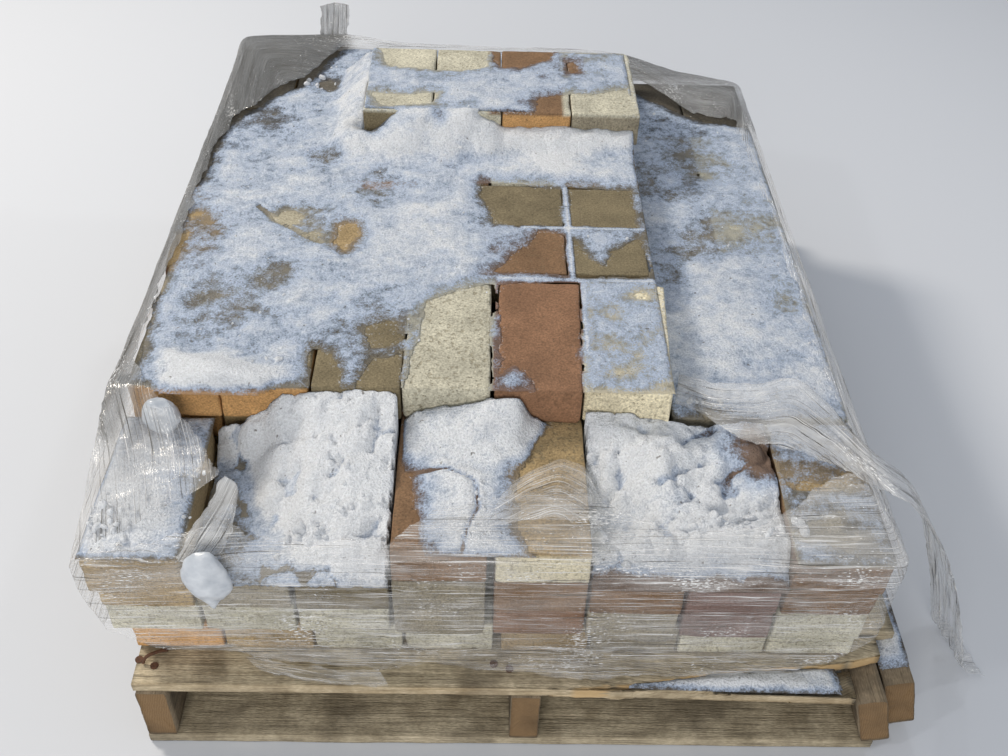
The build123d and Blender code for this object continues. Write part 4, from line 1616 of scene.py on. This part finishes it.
def filmPatch(name, rails, across, along, material, flat, held, rests, wrinkle, creaseCell, seed, ragged=4.0,
              area=None, milk=0.0, grey=0.0):
    # film between listed lines: each rail is one line along the creases, in mm
    resampled = []
    for rail in rails:
        rail = np.array(rail, float)
        length = np.concatenate([[0], np.cumsum(np.linalg.norm(np.diff(rail, axis=0), axis=1))])
        at = np.linspace(0, length[-1], along)
        line = np.stack([np.interp(at, length, rail[:, axis]) for axis in range(3)], axis=1)
        resampled.append(blurAlong(line, 3, closed=False))
    resampled = np.array(resampled)
    rows = []
    for place in np.linspace(0, len(rails) - 1, across):
        low = min(int(place), len(rails) - 2)
        part = place - low
        rows.append(resampled[low] * (1 - part) + resampled[low + 1] * part)
    grid = np.array(rows)
    if len(rails) > 2:
        for _ in range(2):
            grid[1:-1] = 0.25 * grid[:-2] + 0.5 * grid[1:-1] + 0.25 * grid[2:]
    run = np.concatenate([np.zeros((across, 1)), np.cumsum(
        np.linalg.norm(np.diff(grid, axis=1), axis=2), axis=1)], axis=1)
    wide = np.concatenate([np.zeros((1, along)), np.cumsum(
        np.linalg.norm(np.diff(grid, axis=0), axis=2), axis=0)])
    for row, beside, extra in ((0, 1, 1), (-1, -2, 2)):
        away = grid[row] - grid[beside]
        away /= np.maximum(np.linalg.norm(away, axis=1), 1e-6)[:, None]
        grid[row] += away * (ragged * roughNoise(flatSpots(run[0], run[0] * 0), 13, seed + extra))[:, None]
    flatPlaces = np.stack([run, wide, run * 0], axis=2).reshape(-1, 3)
    creases = ridged(flatPlaces, (*creaseCell, 1), seed)
    fine = ridged(flatPlaces, (creaseCell[0] * 0.5, creaseCell[1] * 0.45, 1), seed + 3)
    push = wrinkle * (creases + 0.4 * fine - 0.4)
    push += wrinkle * 0.6 * roughNoise(flatPlaces, (70, 30, 1), seed + 5)
    grid = grid + gridNormals(grid, False) * push.reshape(run.shape)[..., None]
    crease = np.clip(creases * 0.8 + fine * 0.5, 0, 1).reshape(run.shape)
    uv = np.stack([run, wide], axis=2)
    return finishFilm(name, grid, uv, crease, milk, grey, material, False, flat, held, rests, area)


# The loose end of the film, in mm: its two edges on top of the stack, then x and height as it falls
tailPath = dict(
    topEdge=((222, -240, 331), (263, -266, 338), (315, -274, 345), (352, -268, 356), (391, -306, 342),
             (412, -350, 338)),
    lowEdge=((210, -292, 331), (239, -312, 335), (278, -357, 337), (331, -373, 338), (382, -396, 336),
             (412, -414, 334)),
    fall=((430, 331), (441, 325), (462, 309), (484, 283), (522, 218), (558, 133), (582, 53), (598, 10),
          (626, 4)),
    wall=421.8,  # the face of the film that it falls beside, and the y of its two edges there
    wallEdges=(-374, -430),
    lines=5,
)

# Other loose film: lines along its creases in mm, points across and along, flat size in metres, and its looks
loosePieces = dict(
    film_flap=dict(  # the standing fold at the front left, twisted where it was torn
        rails=(
            ((-318, -524, 318), (-300, -516, 352), (-276, -506, 388), (-258, -498, 420)),
            ((-312, -528, 320), (-288, -518, 352), (-262, -506, 384), (-246, -496, 406)),
            ((-296, -530, 322), (-276, -520, 346), (-254, -508, 370), (-250, -498, 384)),
            ((-272, -526, 326), (-262, -516, 342), (-256, -508, 358), (-258, -500, 372)),
        ),
        across=16, along=36, flat=(0.05, 0.11), area=0.0042, held="stretched", rests=["film_wrap"],
        wrinkle=2.2, creaseCell=(120, 9), seed=341, milk=0.55,
    ),
    film_bubble=dict(  # blown up over the middle brick
        rails=(
            ((20, -425, 332), (45, -408, 336), (75, -393, 338), (100, -402, 336), (113, -432, 328)),
            ((10, -440, 333), (42, -420, 346), (74, -410, 351), (104, -420, 344), (118, -445, 322)),
            ((0, -462, 333), (38, -446, 344), (72, -440, 348), (106, -446, 340), (122, -462, 320)),
            ((-6, -486, 333), (36, -478, 336), (70, -474, 338), (108, -478, 334), (124, -486, 319)),
        ),
        across=26, along=40, flat=(0.08, 0.135), held="stretched", rests=["bricks_course_4"],
        wrinkle=2.0, creaseCell=(70, 8), seed=351, milk=0.15,
    ),
    film_back_flap=dict(  # a scrap that stands up from the back of the wrap
        rails=(
            ((-292, 523, 372), (-290, 527, 402), (-286, 532, 438)),
            ((-270, 521, 374), (-266, 530, 405), (-262, 540, 442)),
            ((-250, 521, 374), (-244, 526, 404), (-238, 532, 440)),
        ),
        across=14, along=22, flat=(0.05, 0.068), held="hung", rests=["film_wrap"],
        wrinkle=3.0, creaseCell=(60, 8), seed=361, milk=0.2, grey=0.8,
    ),
    film_hem_left=dict(  # a torn end that hangs below the wrap at the front
        rails=(
            ((-268, -535, 172), (-215, -536, 158), (-170, -536, 146), (-118, -537, 150)),
            ((-262, -537, 160), (-214, -539, 145), (-168, -540, 132), (-112, -540, 136)),
            ((-250, -539, 146), (-205, -542, 132), (-160, -543, 125), (-108, -543, 125)),
        ),
        across=10, along=40, flat=(0.035, 0.15), area=0.0036, held="hung", rests=["film_wrap"],
        wrinkle=1.8, creaseCell=(60, 6), seed=371, ragged=5,
    ),
)


def tailRails():
    wall = tailPath["wall"]
    topY, lowY = tailPath["wallEdges"]
    level = tailPath["fall"][0][1]
    rails = []
    for share in np.linspace(0, 1, tailPath["lines"]):
        rail = [np.array(top) * (1 - share) + np.array(low) * share
                for top, low in zip(tailPath["topEdge"], tailPath["lowEdge"])]
        y = topY + (lowY - topY) * share
        narrowing = (0.35 - 0.7 * share) * 0.12  # mm in for each mm down
        arch = 4 * math.sin(share * math.pi)
        spread = 1 + 0.10 * (share - 0.5)
        rail += [(wall + (x - wall) * spread, y + narrowing * (level - z), z + arch * (z > 20))
                 for x, z in tailPath["fall"]]
        rails.append(rail)
    return rails


def looseFilm(material):
    tail = filmPatch("film_tail", tailRails(), 22, 150, material, (0.085, 0.66), "hung",
                     ["film_wrap", "bricks_course_4"], wrinkle=4.0, creaseCell=(190, 8), seed=331, ragged=3.0,
                     milk=0.35)
    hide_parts("wrap_tail")
    for name, look in loosePieces.items():
        filmPatch(name, material=material, **look)


def clearFilm():
    # clear polyethylene hand film, cold stretched: glossy and colourless, with fine pale lines where it is
    # drawn into creases, partly whitened film and partly painted highlights, fine dark lines of painted
    # shade, milky where it is doubled, grey where it is dirty and grey as painted shade along its upper left
    # edge, and flecked with painted glints
    material, add = newMaterial("stretchFilm")
    uv = add("ShaderNodeTexCoord").outputs["UV"]
    crease, milk, grey = (add("ShaderNodeAttribute", attribute_name=name).outputs["Fac"]
                          for name in ("crease", "milk", "grey"))
    noises = {}
    for label, long, wide, detail, shift in (  # noise drawn out along the film, sizes in metres
            ("streaks", 0.09, 0.0017, 3.0, 0.0), ("shadeLines", 0.12, 0.0022, 2.0, 7.3),
            ("veil", 0.14, 0.030, 3.0, 2.1), ("paintedGlints", 0.006, 0.0014, 1.0, 4.7),
            ("busy", 0.10, 0.05, 3.0, 9.2)):
        at = add("ShaderNodeMapping", {
            "Vector": uv, "Location": (shift, shift, 0), "Scale": (1 / long, 1 / wide, 1)})
        noises[label] = add(noiseNode, {"Vector": at, "Scale": 1.0, "Detail": detail})
    # short white specks clustered by the busy noise: painted glints
    glintCluster = add(mathNode, {0: noises["busy"], 1: 0.9, 2: noises["paintedGlints"]}, operation="MULTIPLY_ADD")
    masks = {}
    for label, source, low, high, bottom, top in (
            ("streaks", noises["streaks"], 0.56, 0.74, 0.0, 0.78), ("drawn", crease, 0.15, 0.65, 0.35, 1.0),
            ("dark", noises["shadeLines"], 0.57, 0.74, 0.0, 0.50), ("paintedGlints", glintCluster, 1.18, 1.26, 0.0, 0.7),
            ("veil", noises["veil"], 0.38, 0.72, 0.01, 0.11), ("crease", crease, 0.6, 1.0, 0.0, 0.10),
            ("milk", noises["veil"], 0.3, 0.7, 0.2, 0.75), ("grey", noises["veil"], 0.3, 0.7, 0.30, 0.62)):
        masks[label] = add(rangeNode, {
            "Value": source, "From Min": low, "From Max": high, "To Min": bottom, "To Max": top})
    for label, share in (("streaks", masks["drawn"]), ("milk", milk), ("grey", grey)):
        masks[label] = add(mathNode, {0: masks[label], 1: share}, operation="MULTIPLY")
    # the pale streaks along the creases are partly whitened film and partly painted highlights
    alpha = masks["streaks"]
    for label in ("veil", "crease", "milk", "paintedGlints", "dark", "grey"):
        alpha = add(mathNode, {0: alpha, 1: masks[label]}, operation="ADD", use_clamp=True)
    # the dark lines are painted shade, left out where a pale streak lies
    shadeShare = add(mathNode, {0: masks["dark"], 1: masks["streaks"]}, operation="SUBTRACT", use_clamp=True)
    shadeOver = add(mathNode, {0: shadeShare, 1: 3.3}, operation="MULTIPLY", use_clamp=True)
    colour = "#e5e7e9"
    for mask, over in ((grey, "#7f8182"), (shadeOver, "#56534d"), (masks["paintedGlints"], "#f4f6f8")):
        colour = add(mixNode, {0: mask, 6: colour, 7: over}, data_type="RGBA")
    bump = add(bumpNode, {"Strength": 0.9, "Distance": 0.0014, "Height": noises["streaks"]})
    return finishMaterial(material, {
        "Base Color": colour, "Alpha": alpha, "Roughness": 0.14, "IOR": 1.5, "Specular IOR Level": 0.9,
        "Normal": bump})


makeCamera()
makeStudio()
print("camera and studio are set")

clay = firedClay()
brickTree = buildBrickTree()
brickDraws = np.random.default_rng(brickLook["seed"])
for courseName in frontTones:
    makeCourse(courseName, brickTree, clay, brickDraws)
print("bricks are laid")

deckWood = weatheredWood("weatheredDeckPine", *woodTones["deck"], "X")
stringerWood = weatheredWood("weatheredStringerPine", *woodTones["stringer"], "Y")
makeBoards(deckWood)
makeLeadBoard(deckWood)
makeStringers(stringerWood)
makeNails(rustySteel())
print("pallet is built")

snow = crustySnow()
blockSnow(snow)
for holeSide in ("left", "right"):
    pocketSnow(holeSide, snow)
for layerName, layerPlace in snowLayers.items():
    layerSnow(layerName, snow, **layerPlace)
makeCrumbs(snow)
iceLumps(smoothIce())
palletSnow(snow)
print("snow is laid")

film = clearFilm()
wrapFilm(film)
looseFilm(film)
print("film is on")
